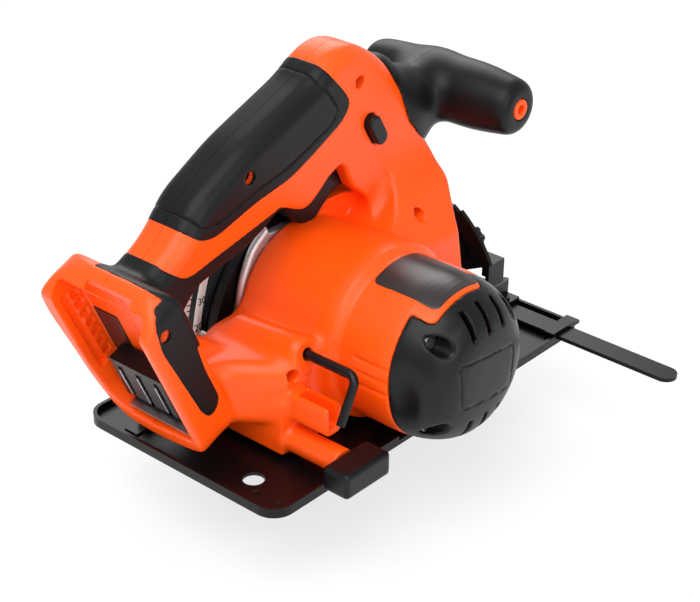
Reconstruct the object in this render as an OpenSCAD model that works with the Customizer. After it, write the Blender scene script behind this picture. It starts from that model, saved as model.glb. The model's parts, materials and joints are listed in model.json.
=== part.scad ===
// Cordless circular saw, battery off, blade at full depth and square to the base.
// +X is the cutting direction, +Y the blade side, +Z up; the sole is the plane z = 0.
// The origin is the middle of the sole.

/* [Base plate] */
// Length of the pressed base plate
base_l = 256; // [246:1:266]
// Width of the pressed base plate
base_w = 140; // [139:1:146]
// Thickness of the base sheet
sheet_t = 2; // [1.6:0.1:2.4]
// Height of the turned-up rim
rim_h = 5.5; // [4.5:0.1:5.8]
// Radius of the plate's corners
base_corner_r = 12; // [8:1:16]

/* [Blade] */
// Diameter of the saw blade
blade_d = 136; // [130:1:138]
// Thickness of the blade body
blade_t = 1.6; // [1.2:0.1:2]
// Number of carbide teeth
blade_teeth = 24; // [18:1:30]
// Bore of the blade
blade_bore = 20; // [16:1:20]
// Distance of the blade plane from the base's centre line
blade_y = 40; // [39:0.5:41]
// Distance of the spindle in front of the sole's middle
spindle_x = 2.6; // [1:0.2:4]
// Height of the spindle above the sole at full depth
spindle_h = 29; // [28:0.5:30]

/* [Gears] */
// Module of the gear pair
gear_module = 0.95; // [0.94:0.01:0.97]
// Teeth on the armature pinion
pinion_teeth = 9; // [9:1:10]
// Teeth on the spindle gear
wheel_teeth = 43; // [40:1:43]
// Forward offset of the spindle from the motor axis
gear_lead = 14.6; // [13:0.2:16]

/* [Guards] */
// Gap between the teeth and the inside of the lower guard
blade_gap = 2.5; // [2.2:0.1:2.8]
// Wall of the sheet-metal lower guard
lower_wall = 1.5; // [1.2:0.1:1.8]
// Wall of the cast upper guard
upper_wall = 2; // [1.6:0.1:2.2]
// Opening angle of the lower guard
guard_swing = 115; // [90:1:120]

/* [Motor] */
// Radius of the motor barrel
barrel_r = 45; // [44:0.5:45.5]
// Radius of the motor can
can_r = 27; // [24:0.5:30]
// Radius of the armature core
armature_r = 19; // [16:0.5:21]

/* [Handle] */
// Half the width of the handle across the seam
handle_half = 16.5; // [15:0.5:17]
// Roundness of the handle's edges
handle_round = 10; // [7:0.5:12]
// Thickness of the soft grip skin
grip_skin = 2.2; // [1.6:0.1:2.6]
// Wall of the moulded housing
housing_wall = 2.6; // [2.2:0.1:3.2]
// Radius of the front auxiliary handle
aux_r = 16.5; // [14:0.5:18]
// Length of the front auxiliary handle
aux_l = 105; // [95:1:115]

/* [Battery foot] */
// Width of the battery foot
foot_w = 76; // [72:1:80]
// Length of the battery foot along its slide
foot_l = 98; // [94:1:102]
// Depth of the battery foot across its slide
foot_d = 24; // [22:0.5:27]
// Lean of the battery slide from upright
foot_lean = 24; // [20:1:27]
// Thickness of the walls round the battery slide
foot_wall = 6; // [5:0.5:7]

/* [Adjustment] */
// Largest bevel angle
bevel_max = 45; // [30:1:45]
// Largest depth swing
depth_max = 28; // [20:1:28]
// Radius of the depth clamp bolt
clamp_bolt_r = 3; // [2.5:0.1:3.2]
// Thickness of the bracket sheet
bracket_t = 2.5; // [2:0.1:2.8]

/* [Rip guide] */
// Width of the guide bar
guide_w = 13.5; // [11:0.5:15]
// Thickness of the guide bar
guide_t = 2.4; // [2:0.1:2.6]
// Reach of the bar's free end beyond the base's edge
guide_reach = 75; // [60:1:85]
// Length of the fence
fence_l = 96; // [80:1:110]

/* [Hex key] */
// Width across the flats of the hex key
key_af = 4.6; // [4:0.1:5]
// Length of the hex key's long leg
key_long = 70; // [66:1:74]
// Length of the hex key's short leg
key_short = 26; // [22:1:30]

/* [Hidden] */
$fn = 48;
eps = 0.01;

// Colours
c_orange = [1.0, 0.35, 0.07];
c_black = [0.13, 0.13, 0.14];
c_soft = [0.17, 0.17, 0.18];
c_steel = [0.62, 0.63, 0.65];
c_cast = [0.74, 0.73, 0.73];
c_copper = [0.72, 0.42, 0.24];

// Clearances
gap = 0.5;
fit = 0.05;

// Key planes and axes
seam_y = 20.5;
case_y = 22.5;
guard_y = 28;
guard_out_y = 2 * blade_y - guard_y + 1;
blade_r = blade_d / 2;
lower_r = blade_r + blade_gap + lower_wall;
upper_r = lower_r + 0.4 + upper_wall;
centre_distance = gear_module * (pinion_teeth + wheel_teeth) / 2;
motor_x = spindle_x - gear_lead;
motor_h = spindle_h + sqrt(centre_distance * centre_distance - gear_lead * gear_lead);
pivot_x = 84;
pivot_h = 18;
bevel_h = 7;
clamp_x = -79.7;
clamp_h = 12.8;
quadrant_x = 94.5;
lever_y = -base_w / 2 - 1.5;
barrel_end = -79.5;
dome_start = -71;
dome_end = -109.6;
wall_y = -37;
guide_x = 114;

// Place of the battery foot's slide plane: its lower edge and centre
foot_x = -123.3;
foot_h = 14.8;

// Shared helpers ------------------------------------------------------------

// A cylinder along Y from y0 to y1
module y_rod(x, z, y0, y1, r) {
    translate([x, y0, z])
        rotate([-90, 0, 0])
            cylinder(h = y1 - y0, r = r);
}

// A tapered round along Y
module y_cone(x, z, y0, y1, r0, r1) {
    translate([x, y0, z])
        rotate([-90, 0, 0])
            cylinder(h = y1 - y0, r1 = r0, r2 = r1);
}

// A ring along Y
module y_ring(x, z, y0, y1, r_out, r_in) {
    difference() {
        y_rod(x, z, y0, y1, r_out);
        y_rod(x, z, y0 - 1, y1 + 1, r_in);
    }
}

// A cylinder along X from x0 to x1
module x_rod(y, z, x0, x1, r) {
    translate([x0, y, z])
        rotate([0, 90, 0])
            cylinder(h = x1 - x0, r = r);
}

// A side-view outline (x, z) made solid from y0 to y1
module side(y0, y1) {
    translate([0, y1, 0])
        rotate([90, 0, 0])
            linear_extrude(y1 - y0)
                children();
}

// A front-view outline (y, z) made solid from x0 to x1
module front(x0, x1) {
    translate([x0, 0, 0])
        rotate([90, 0, 90])
            linear_extrude(x1 - x0)
                children();
}

// A box from one corner to the opposite one
module box(a, b) {
    translate(a)
        cube(b - a);
}

// A rectangle with round corners, centred
module round_rect(l, w, r) {
    square([l - 2 * r, w], center = true);
    square([l, w - 2 * r], center = true);
    for (sx = [-1, 1], sy = [-1, 1])
        translate([sx * (l / 2 - r), sy * (w / 2 - r)])
            circle(r = r);
}

// A pie slice from angle a0 to a1
module pie(r, a0, a1, steps = 12) {
    polygon(concat([[0, 0]], [for (i = [0:steps])
        let (a = a0 + (a1 - a0) * i / steps)
        [r * cos(a), r * sin(a)] / cos((a1 - a0) / steps / 2)]));
}

// A side-view outline made solid with rounded long edges
module pillow(y0, y1, r) {
    minkowski() {
        side(y0 + r, y1 - r)
            offset(delta = -r)
                children();
        rotate([90, 0, 0])
            sphere(r = r, $fn = 16);
    }
}

// Everything on the right (or left) of the clamshell seam
module right_of_seam() {
    box([-250, -200, -50], [250, seam_y, 260]);
}

module left_of_seam() {
    box([-250, seam_y, -50], [250, 200, 260]);
}

// The battery foot's own frame: x into the foot, z up along its slide
module foot_frame() {
    translate([foot_x, seam_y, foot_h])
        rotate([0, -foot_lean, 0])
            children();
}

// One involute gear outline, teeth thinned for backlash
function involute(rb, t) = rb * [cos(t) + t * PI / 180 * sin(t), sin(t) - t * PI / 180 * cos(t)];
function turned(p, a) = [p[0] * cos(a) - p[1] * sin(a), p[0] * sin(a) + p[1] * cos(a)];
function roll_angle(rb, r) = r <= rb ? 0 : sqrt(r * r / (rb * rb) - 1) * 180 / PI;
function inv_angle(rb, r) = let (p = involute(rb, roll_angle(rb, r))) atan2(p[1], p[0]);

module gear_outline(teeth, m) {
    pressure = 25;
    backlash = 0.16;
    steps = 4;
    rp = m * teeth / 2;
    rb = rp * cos(pressure);
    ra = rp + 0.75 * m;
    rf = rp - m;
    half = 90 / teeth - backlash / rp * 45 / PI + inv_angle(rb, rp);
    flank = [for (i = [0:steps])
        let (r = rb + (ra - rb) * i / steps, p = involute(rb, roll_angle(rb, r)))
        turned(p, -half)];
    root = turned([min(rf, rb), 0], -half);
    tooth = concat([root], flank, [for (i = [steps:-1:0]) [flank[i][0], -flank[i][1]]],
        [[root[0], -root[1]]]);
    polygon([for (k = [0:teeth - 1]) for (p = tooth) turned(p, k * 360 / teeth)]);
}

// Base plate and its fixed brackets ------------------------------------------

slot_x0 = -upper_r + 6;
slot_x1 = pivot_x;
slot_y0 = blade_y - 22.5;
slot_y1 = blade_y + 13;
tray_corner = base_corner_r - sheet_t;

module base_plate() {
    color(c_black)
    difference() {
        union() {
            difference() {
                linear_extrude(rim_h)
                    round_rect(base_l, base_w, base_corner_r);
                translate([0, 0, sheet_t])
                    linear_extrude(rim_h)
                        round_rect(base_l - 2 * sheet_t, base_w - 2 * sheet_t, tray_corner);
            }
            // turned-up bridges that carry the guide bar over both rims
            for (side_y = [-1, 1])
                guide_bridge(side_y);
            // flared tab at the front right corner
            translate([base_l / 2 - 9, -base_w / 2 + 1, rim_h - sheet_t])
                cube([12, 9, sheet_t]);
            // raised lip round the blade slot
            slot_lip();
            // strap over the guide bar that the guide screw turns in
            guide_strap();
        }
        // blade slot
        translate([0, 0, -1])
            linear_extrude(20)
                slot_outline(0);
        // guide bar passages through the rims
        guide_passage();
        // hanging hole at the rear
        translate([-base_l / 2 + 19, -base_w / 2 + 33, -1])
            cylinder(h = 10, r = hang_r);
        // thread of the guide screw
        translate([guide_x, screw_y, sheet_t + 1])
            cylinder(h = 20, r = guide_screw_r + fit);
        // relief in the rim where the motor barrel lies over it
        box([motor_x - 22, -base_w, motor_h - barrel_r - 1], [motor_x + 22, -base_w / 2 + 6, 20]);
        // pressed dimples along the rear edge
        for (y = [-46, -62])
            translate([-base_l / 2 + 11, y, sheet_t + 4.4])
                sphere(r = 5, $fn = 32);
    }
}

hang_r = 5.8;
guide_z = 3.2;
guide_screw_r = 3;
screw_y = -22;

module slot_outline(grow) {
    translate([(slot_x0 + slot_x1) / 2, (slot_y0 + slot_y1) / 2])
        round_rect(slot_x1 - slot_x0 + 2 * grow, slot_y1 - slot_y0 + 2 * grow, 5 + grow);
}

module slot_lip() {
    translate([0, 0, sheet_t - eps])
        linear_extrude(0.8)
            slot_outline(1.6);
}

module guide_bridge(s) {
    y = s * (base_w / 2 - 3);
    box([guide_x - guide_w / 2 - 4, y - 3, 0], [guide_x + guide_w / 2 + 4, y + 3, rim_h + 2.4]);
}

strap_z = guide_z + guide_t + gap;

module guide_strap() {
    half = guide_w / 2 + 3;
    for (s = [-1, 1])
        translate([guide_x + s * half, screw_y, (strap_z + bracket_t) / 2])
            cube([3, 15, strap_z + bracket_t], center = true);
    translate([guide_x, screw_y, strap_z + bracket_t / 2])
        cube([2 * half, 15, bracket_t], center = true);
}

module guide_passage() {
    box([guide_x - guide_w / 2 - gap, -base_w, guide_z - gap],
        [guide_x + guide_w / 2 + gap, base_w, guide_z + guide_t + gap]);
}

// The bevel quadrant stands across the base with its arc slot round the bevel axis
quadrant_r = 77;
bevel_slot_r = 57;
clamp_angle = 140;
bevel_bolt_r = 2.8;

module arc_slot(r, half, a0, a1) {
    intersection() {
        difference() {
            circle(r = r + half);
            circle(r = r - half);
        }
        pie(r + 2 * half, a0, a1);
    }
    for (a = [a0, a1])
        translate([r * cos(a), r * sin(a)])
            circle(r = half - eps);
}

module bevel_quadrant() {
    color(c_black) {
        front(quadrant_x, quadrant_x + bracket_t)
            difference() {
                translate([blade_y, bevel_h])
                    intersection() {
                        union() {
                            circle(r = quadrant_r - 2);
                            pie(quadrant_r + 4, 127, 180);
                        }
                        circle(r = quadrant_r);
                        pie(quadrant_r + 10, 78, 154);
                    }
                translate([blade_y, bevel_h])
                    arc_slot(bevel_slot_r, bevel_bolt_r + gap, clamp_angle - bevel_max - 2, clamp_angle + 2);
                translate([-100, -40])
                    square([200, 40 + sheet_t]);
                translate([-100, quadrant_top])
                    square([200, 40]);
                translate([blade_y, bevel_h])
                    circle(r = 30);
            }
        // foot flange, the folded end and the folded hood that stiffen the quadrant
        box([quadrant_x, quadrant_foot_y, sheet_t],
            [quadrant_x + quadrant_fold, blade_y - 12, sheet_t + bracket_t]);
        box([quadrant_x, quadrant_foot_y, sheet_t],
            [quadrant_x + quadrant_fold, quadrant_foot_y + bracket_t, hood_z0 + eps]);
        box([quadrant_x, quadrant_foot_y, hood_z0], [hood_x1, quadrant_foot_y + bracket_t, hood_z1]);
        box([quadrant_x, quadrant_foot_y, hood_z1 - bracket_t], [hood_x1, hood_y1, hood_z1]);
        box([hood_x1 - bracket_t, quadrant_foot_y, hood_z0], [hood_x1, hood_y1, hood_z1]);
        box([quadrant_x, quadrant_foot_y, sheet_t], [quadrant_x + bracket_t, blade_y - 20, 30]);
    }
}

quadrant_foot_y = -28.7;
quadrant_fold = 7;
hood_x1 = 109;
hood_y1 = -14.8;
hood_z0 = 25;
hood_z1 = 40.5;
quadrant_top = 70;

// Ears on the base that hold the two bevel rivets
ear_r = 4.6;
rear_ear_x = -base_l / 2 + 16;
front_ear_x = 99;

module ear(x0, x1) {
    front(x0, x1)
        difference() {
            union() {
                translate([blade_y, bevel_h])
                    circle(r = ear_r);
                translate([blade_y - ear_r, sheet_t])
                    square([2 * ear_r, bevel_h - sheet_t]);
            }
            translate([blade_y, bevel_h])
                circle(r = rivet_r);
        }
}

rivet_r = 2;

module hinge_ears() {
    color(c_black) {
        ear(rear_ear_x, rear_ear_x + bracket_t);
        box([rear_ear_x - 10, blade_y - ear_r, sheet_t],
            [rear_ear_x + eps, blade_y + ear_r, sheet_t + 1.2]);
        ear(front_ear_x, front_ear_x + bracket_t);
        box([front_ear_x + bracket_t - eps, blade_y - ear_r, sheet_t],
            [front_ear_x + 7, blade_y + ear_r, sheet_t + 0.5]);
    }
}

module bevel_rivets() {
    color(c_steel) {
        x_rod(blade_y, bevel_h, rear_ear_x - 1.6, rear_ear_x, 3.6);
        x_rod(blade_y, bevel_h, rear_ear_x, rear_ear_x + 2 * bracket_t + 1, rivet_r);
        x_rod(blade_y, bevel_h, front_ear_x - bracket_t - 1, front_ear_x + bracket_t, rivet_r);
        x_rod(blade_y, bevel_h, front_ear_x + bracket_t, front_ear_x + bracket_t + 1.6, 3.6);
    }
}

// Rip guide -------------------------------------------------------------------

fence_y = base_w / 2 + 14;

module guide_bar() {
    color(c_black)
    translate([guide_x, 0, guide_z]) {
        linear_extrude(guide_t) {
            translate([-guide_w / 2, -base_w / 2 - guide_reach + guide_w / 2])
                square([guide_w, base_w / 2 + guide_reach - guide_w / 2 + fence_y]);
            translate([0, -base_w / 2 - guide_reach + guide_w / 2])
                circle(r = guide_w / 2);
        }
    }
}

module guide_fence() {
    color(c_black)
    difference() {
        union() {
            box([guide_x - fence_l / 2, fence_y, -9],
                [guide_x + fence_l / 2, fence_y + 2.4, guide_z + guide_t]);
            box([guide_x - fence_l / 2, fence_y, guide_z + guide_t],
                [guide_x + fence_l / 2, fence_y + 11, guide_z + guide_t + 2.2]);
        }
        for (x = [-1, 1])
            y_rod(guide_x + x * fence_l * 0.36, -2, fence_y - 1, fence_y + 5, 2.6);
    }
}

module guide_screw() {
    color(c_black)
    translate([guide_x, screw_y, guide_z + guide_t + 0.3]) {
        cylinder(h = bracket_t + 4, r = guide_screw_r);
        translate([0, 0, bracket_t + gap])
            cylinder(h = 3, r = 7);
        translate([0, 0, bracket_t + gap + 3])
            linear_extrude(8)
                round_rect(17, 4, 1.9);
    }
}

// Bevel frame: front bracket and depth quadrant ----------------------------------

depth_r = norm([pivot_x - clamp_x, pivot_h - clamp_h]);
depth_a0 = 180 + atan2(pivot_h - clamp_h, pivot_x - clamp_x);
depth_pin_r = 4;
bracket_x = quadrant_x - gap - bracket_t;
lug_r = 6.6;

module front_bracket() {
    color(c_black)
    difference() {
        union() {
            // plate that follows the bevel quadrant
            front(bracket_x, bracket_x + bracket_t)
                difference() {
                    union() {
                        hull() {
                            translate([blade_y, bevel_h])
                                circle(r = ear_r);
                            translate([blade_y - 26, bevel_h + 6])
                                square([12, 18]);
                        }
                        hull() {
                            translate([blade_y - 26, bevel_h + 6])
                                square([12, 18]);
                            translate([blade_y + bevel_slot_r * cos(clamp_angle),
                                bevel_h + bevel_slot_r * sin(clamp_angle)])
                                circle(r = 8);
                        }
                    }
                    translate([blade_y + bevel_slot_r * cos(clamp_angle),
                        bevel_h + bevel_slot_r * sin(clamp_angle)])
                        circle(r = bevel_bolt_r + fit);
                }
            // two ears that hold the depth pivot
            for (y = [case_y - gap - bracket_t, guard_y + gap])
                side(y, y + bracket_t) {
                    translate([pivot_x, pivot_h])
                        circle(r = lug_r);
                    translate([pivot_x, pivot_h - lug_r])
                        square([bracket_x - pivot_x + eps, 2 * lug_r]);
                }
            // lug at the front rivet
            box([bracket_x, blade_y - 6, bevel_h - 3], [front_ear_x - gap, blade_y - 2.5, bevel_h + 3]);
            front(front_ear_x - gap - 1.6, front_ear_x - gap)
                translate([blade_y, bevel_h])
                    circle(r = ear_r);
        }
        y_rod(pivot_x, pivot_h, case_y - 10, guard_y + 10, depth_pin_r);
        x_rod(blade_y, bevel_h, bracket_x - 1, front_ear_x + 1, rivet_r + fit);
    }
}

module depth_pivot_pin() {
    color(c_steel) {
        y_rod(pivot_x, pivot_h, case_y - gap - bracket_t - 2, guard_y + gap + bracket_t, depth_pin_r);
        y_rod(pivot_x, pivot_h, case_y - gap - bracket_t - 4, case_y - gap - bracket_t, depth_pin_r + 2);
    }
}

depth_plate_y = blade_y - 2;
depth_band = 6.4;

module depth_quadrant() {
    color([0.9, 0.9, 0.88])
    difference() {
        union() {
            side(depth_plate_y, depth_plate_y + bracket_t)
                difference() {
                    union() {
                        translate([pivot_x, pivot_h])
                            intersection() {
                                difference() {
                                    circle(r = depth_r + depth_band, $fn = 96);
                                    circle(r = depth_r - depth_band, $fn = 96);
                                }
                                pie(depth_r + 20, depth_a0 - depth_max, depth_a0 + 2);
                            }
                        translate([pivot_x + depth_r * cos(depth_a0 - depth_max),
                            pivot_h + depth_r * sin(depth_a0 - depth_max)])
                            circle(r = depth_band);
                        // foot that reaches back to the rear hinge
                        polygon([[clamp_x - 6, clamp_h + 6], [rear_ear_x + 4, bevel_h + 4.5],
                            [rear_ear_x + 4, bevel_h - 4], [clamp_x + 4, clamp_h - 8.5]]);
                    }
                    translate([pivot_x, pivot_h])
                        arc_slot(depth_r, clamp_bolt_r + gap, depth_a0 - depth_max, depth_a0);
                }
            // folded ear on the rear bevel rivet
            front(rear_ear_x + bracket_t + gap, rear_ear_x + bracket_t + gap + 2)
                translate([blade_y, bevel_h])
                    circle(r = ear_r);
        }
        x_rod(blade_y, bevel_h, rear_ear_x - 1, rear_ear_x + 8, rivet_r + fit);
    }
}

bevel_bolt_y = blade_y + bevel_slot_r * cos(clamp_angle);
bevel_bolt_z = bevel_h + bevel_slot_r * sin(clamp_angle);

module bevel_bolt() {
    color(c_steel) {
        x_rod(bevel_bolt_y, bevel_bolt_z, bracket_x - 2, bracket_x, 5.2);
        x_rod(bevel_bolt_y, bevel_bolt_z, bracket_x, quadrant_x + bracket_t + 12, bevel_bolt_r);
    }
}

module bevel_knob() {
    color(c_black)
    translate([quadrant_x + bracket_t + gap, bevel_bolt_y, bevel_bolt_z])
        rotate([0, 90, 0])
            difference() {
                union() {
                    cylinder(h = 4, r = 7.5);
                    translate([0, 0, 4])
                        linear_extrude(11)
                            difference() {
                                circle(r = 8.4);
                                for (a = [0:45:315])
                                    rotate(a)
                                        translate([10.2, 0])
                                            circle(r = 2.9);
                            }
                }
                translate([0, 0, -1])
                    cylinder(h = 13, r = bevel_bolt_r + fit);
            }
}

// Housing outlines -------------------------------------------------------------

// Side view of head, handle and neck
module frame_outline() {
    polygon([
        [-8, 182], [3, 187.5], [14, 188.5], [27, 183], [43, 171], [59, 149], [70, 131],
        [77, 115], [83, 93], [81, 82], [69, 74], [66, 60], [0, 60], [4, 84], [19, 92],
        [24, 101], [21, 112], [-8, 113.5], [-38, 111.5], [-55, 109.5], [-92, 99.5],
        [-103, 96], [-103, 84], [-97, 66], [-90, 52], [-90, 24], [-102, 20], [-112, 24],
        [-124, 60], [-142, 96], [-146, 112], [-126, 117], [-111, 126], [-99, 138],
        [-67, 156], [-17, 176]
    ]);
}

// Side view of the soft grip on the handle
module grip_outline() {
    polygon([
        [-14, 192], [-4, 178], [6, 165], [10, 158], [4, 150], [-20, 138], [-36, 131],
        [-62, 126], [-88, 117], [-100, 118], [-108, 124], [-122, 138], [-112, 150],
        [-60, 180]
    ]);
}

module handle_skin() {
    pillow(seam_y - handle_half, seam_y + handle_half, handle_round)
        frame_outline();
}

module handle_core() {
    pillow(seam_y - handle_half + grip_skin, seam_y + handle_half - grip_skin,
        handle_round - grip_skin)
        offset(delta = -grip_skin)
            frame_outline();
}

module grip_zone() {
    side(seam_y - 40, seam_y + 40)
        grip_outline();
}

// Battery foot body in its own frame
module foot_body() {
    foot_frame()
        hull() {
            for (s = [-1, 1]) {
                for (p = [[4, foot_l - 15], [16, foot_l - 4], [foot_d, foot_l - 10]])
                    translate([p[0], s * (foot_w / 2 - 4), p[1]])
                        sphere(r = 4, $fn = 16);
            }
            // lower edge, with the left corner cut back to clear the base in a bevel cut
            for (p = [[-foot_w / 2 + 4, 4], [foot_w / 2 - 18, 4], [foot_w / 2 - 4, 18]],
                    q = [[4, 0], [foot_d - 5, 4]])
                translate([q[0], p[0], p[1] + q[1]])
                    sphere(r = 4, $fn = 16);
        }
}

// Space inside the foot where the battery slides in
foot_in = 17;

module foot_space() {
    foot_frame() {
        intersection() {
            box([-3, -foot_w / 2 + foot_wall, foot_wall + 1],
                [foot_in, foot_w / 2 - foot_wall, foot_l - 15]);
            translate([0, foot_w / 2 - 18, 18])
                rotate([45, 0, 0])
                    box([-4, -200, -14 * sqrt(0.5) + 4], [foot_in + 1, 200, 200]);
        }
        // rail grooves in both side walls
        for (s = [-1, 1])
            translate([6, s * (foot_w / 2 - foot_wall), (foot_l - 6) / 2])
                cube([4, 4, foot_l - 24], center = true);
    }
}

// Motor barrel and its dome share one revolved outline
dome_steps = 12;
function dome_r(t) = barrel_r * pow(cos(t), 0.46);
function dome_turn(y) = y >= dome_start ? 0 : asin((y - dome_start) / (dome_end - dome_start));

// The dome's solid from the plane y_from outward, drawn in by shrink all over
module dome(shrink, y_from) {
    t0 = dome_turn(y_from);
    translate([motor_x, 0, motor_h])
        rotate([90, 0, 0])
            rotate_extrude($fn = 72)
                polygon(concat([[0, -y_from], [dome_r(t0) - shrink, -y_from]],
                    [for (i = [y_from > dome_start ? 0 : 1:dome_steps])
                        let (t = t0 + (86 - t0) * i / dome_steps)
                        [max(dome_r(t) - shrink, 0.1), -(dome_start + (dome_end - dome_start) * sin(t)) - shrink]],
                    [[0, -dome_end - shrink]]));
}

// Orange tongue over the top of the barrel, where the rating plate sits
tongue_a0 = 70.5;
tongue_a1 = 127.5;
tongue_y = -92;

module tongue_zone(extra) {
    translate([motor_x, barrel_end + 1, motor_h])
        rotate([90, 0, 0])
            linear_extrude(barrel_end + 1 - tongue_y + extra)
                pie(barrel_r + 10, tongue_a0 - extra, tongue_a1 + extra);
}

module barrel_solid() {
    intersection() {
        dome(0, 5);
        union() {
            box([-100, barrel_end, -20], [100, 30, 150]);
            tongue_zone(0);
        }
    }
    difference() {
        y_ring(motor_x, motor_h, -43, -38, barrel_r + 2, barrel_r - 5);
        box([-100, -60, -20], [100, 0, 5]);
    }
    // three raised ribs low on the rear of the barrel
    for (a = [167, 176, 185])
        translate([motor_x, 0, motor_h])
            rotate([0, -a, 0])
                translate([barrel_r - 1, barrel_end + 0.5, -1])
                    cube([1.8, 22, 2]);
}

// Gear end of the housing, next to the gear case
gear_drop = 5.5;

module gear_end_outline() {
    intersection() {
        union() {
            translate([motor_x, motor_h - gear_drop])
                circle(r = barrel_r);
            polygon([[motor_x, 6], [68, 22], [77, 34], [74, 46], [71, 56], [67, 66], [68, 74], [20, 86]]);
            translate([spindle_x, spindle_h])
                circle(r = spindle_h - 5);
        }
        translate([-120, 5])
            square([240, 120]);
    }
}

// Rear body that joins bridge, clamp tube and barrel
rear_x = -88;

module rear_outline() {
    polygon([[rear_x, 4.5], [-40, 4.5], [-40, 72], [-62, 67], [-76, 63], [-84, 54], [rear_x - 2, 48],
        [rear_x - 2, 34]]);
}

tube_r = 6.7;
clip_x = -78.5;
clip_z0 = 27;
clip_z1 = 42;
clip_l = 27;
key_x = -69;
key_z = 57.5;
key_hole_r = 3.2;

module key_clip() {
    difference() {
        union() {
            y_rod(clip_x, clip_z0 + 6, wall_y - clip_l, wall_y + 2, 6);
            box([clip_x - 6, wall_y - clip_l, clip_z0 + 6], [clip_x + 6, wall_y + 2, clip_z1]);
        }
        y_rod(clip_x, clip_z0 + 6, wall_y - clip_l - 1, wall_y - 2, 3.4);
        box([clip_x - 3.4, wall_y - clip_l - 1, clip_z0 + 6], [clip_x + 3.4, wall_y - 2, clip_z1 + 1]);
    }
}

module housing_solid() {
    handle_skin();
    foot_body();
    barrel_solid();
    side(2, case_y)
        gear_end_outline();
    // shoulder from the gear end out to the motor flange
    hull() {
        side(-4, 2)
            translate([motor_x + 4, motor_h - 3])
                circle(r = barrel_r + 1, $fn = 32);
        side(-40, -38)
            translate([motor_x, motor_h])
                circle(r = barrel_r + 0.5, $fn = 32);
        box([55, -6, 30], [70, 2, 66]);
    }
    // flank that sweeps from the head down on to the barrel
    hull() {
        side(5, 8)
            polygon([[22, 96], [78, 92], [66, 62], [10, 62]]);
        side(-30, -26)
            translate([motor_x + 14, motor_h + 14])
                circle(r = barrel_r - 18, $fn = 32);
        box([50, -20, 38], [72, -16, 58]);
        box([50, -12, 60], [68, -8, 72]);
    }
    // bridge from the foot to the rear body
    hull() {
        side(wall_y + 8, seam_y)
            polygon([[-80, 20], [-60, 20], [-60, 56], [-84, 50]]);
        box([-108, 2, 22], [-92, seam_y + 14, 54]);
    }
    side(wall_y, case_y)
        offset(r = 4, $fn = 24)
            offset(delta = -4)
                rear_outline();
    y_rod(clamp_x, clamp_h, lever_y + gap, wall_y + 4, tube_r);
    key_clip();
    // boss that the rear housing screw bites into
    y_rod(rear_screw[0], rear_screw[1], case_y - 1, case_y + 6, 5);
}

// Everything that is hollow or bored in both halves
module housing_hollows() {
    foot_space();
    // relief that lets the nose pass behind the bevel quadrant at the least depth of cut
    translate([pivot_x, 0, pivot_h])
        rotate([0, -depth_max, 0])
            box([quadrant_x - pivot_x - 0.8, quadrant_foot_y - 3, 14],
                [quadrant_x, blade_y - 28, quadrant_top - pivot_h + 3]);
    // nothing of the housing reaches down to the sheet of the base
    box([-base_l / 2, -base_w / 2, -base_w], [base_l / 2, base_w, sheet_t + 2.2]);
    // motor chamber, gear chamber and bearing seats
    difference() {
        dome(housing_wall, -7);
        // two webs that hold the motor can
        for (y = [-72, -33])
            y_ring(motor_x, motor_h, y, y + 4, barrel_r, can_r);
        // bosses the cap screws enter
        for (a = cap_screw_angles)
            y_rod(cap_screw_x(a), cap_screw_z(a), barrel_end, -68, cap_boss_r);
    }
    for (a = cap_screw_angles)
        y_rod(cap_screw_x(a), cap_screw_z(a), barrel_end - 1, -66, 2.05);
    y_rod(motor_x, motor_h, -12, front_bearing_y, bearing_or);
    side(gear_y0, case_y + 1) {
        translate([spindle_x, spindle_h])
            circle(r = wheel_tip + 1.2);
        translate([motor_x, motor_h])
            circle(r = pinion_tip + 3.5);
    }
    y_rod(motor_x, motor_h, -12, gear_y0 + 1, 6);
    y_rod(spindle_x, spindle_h, needle_y0, gear_y0 + 1, needle_or);
    // depth clamp bolt, hex key, spindle lock, lock-off button and trigger
    y_rod(clamp_x, clamp_h, lever_y - 1, 60, clamp_bolt_r);
    y_rod(trigger_pin_x, trigger_pin_z, trigger_y0 - 4, trigger_y1 + 4, 2);
    y_rod(key_x, key_z, wall_y - 10, key_hole_end, key_hole_r);
    x_rod(lock_y, spindle_h, spindle_x, lock_seat_x, lock_pin_r + fit);
    x_rod(lock_y, spindle_h, lock_seat_x, lock_out_x + 30, lock_button_r + 0.3);
    side(seam_y - 40, seam_y + 40)
        lock_off_outline(0.4);
    trigger_space();
    // room for switch, terminal block and leads inside the handle
    difference() {
        side(seam_y - handle_half + grip_skin + housing_wall,
            seam_y + handle_half - grip_skin - housing_wall)
            handle_room();
        // bosses round the housing screws
        for (p = screw_places)
            y_rod(p[0], p[1], 0, 45, 4.6);
    }
    // clearance round the guard
    y_rod(spindle_x, spindle_h, guard_y - gap, guard_y + 60, upper_r + 1);
    // screw holes
    for (p = screw_places)
        y_rod(p[0], p[1], p[2], p[2] + 30, 1.6);
    for (p = screw_places)
        y_rod(p[0], p[1], wall_y - 20, p[2] + 3.5, 3.4);
}

// Room inside the handle: a long pocket and the neck
module handle_room() {
    polygon([[-2, 168], [9, 171], [11, 150], [8, 128], [-34, 126], [-56, 119], [-96, 109],
        [-108, 98], [-104, 84], [-100, 70], [-118, 70], [-126, 100], [-112, 113], [-95, 126],
        [-60, 146], [-20, 163]]);
}

module trigger_space() {
    side(trigger_y0 - gap, trigger_y1 + gap)
        polygon([[-36, 100], [24, 100], [24, 126], [-36, 126]]);
}

// Housing screws: x, z and the y of the screw seat
rear_screw = [-80, 49.5, 8];
screw_places = [[17.4, 167.4, 8], [57, 89, 8], [-65.5, 141, 8], [-122, 86, 8], rear_screw];

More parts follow.
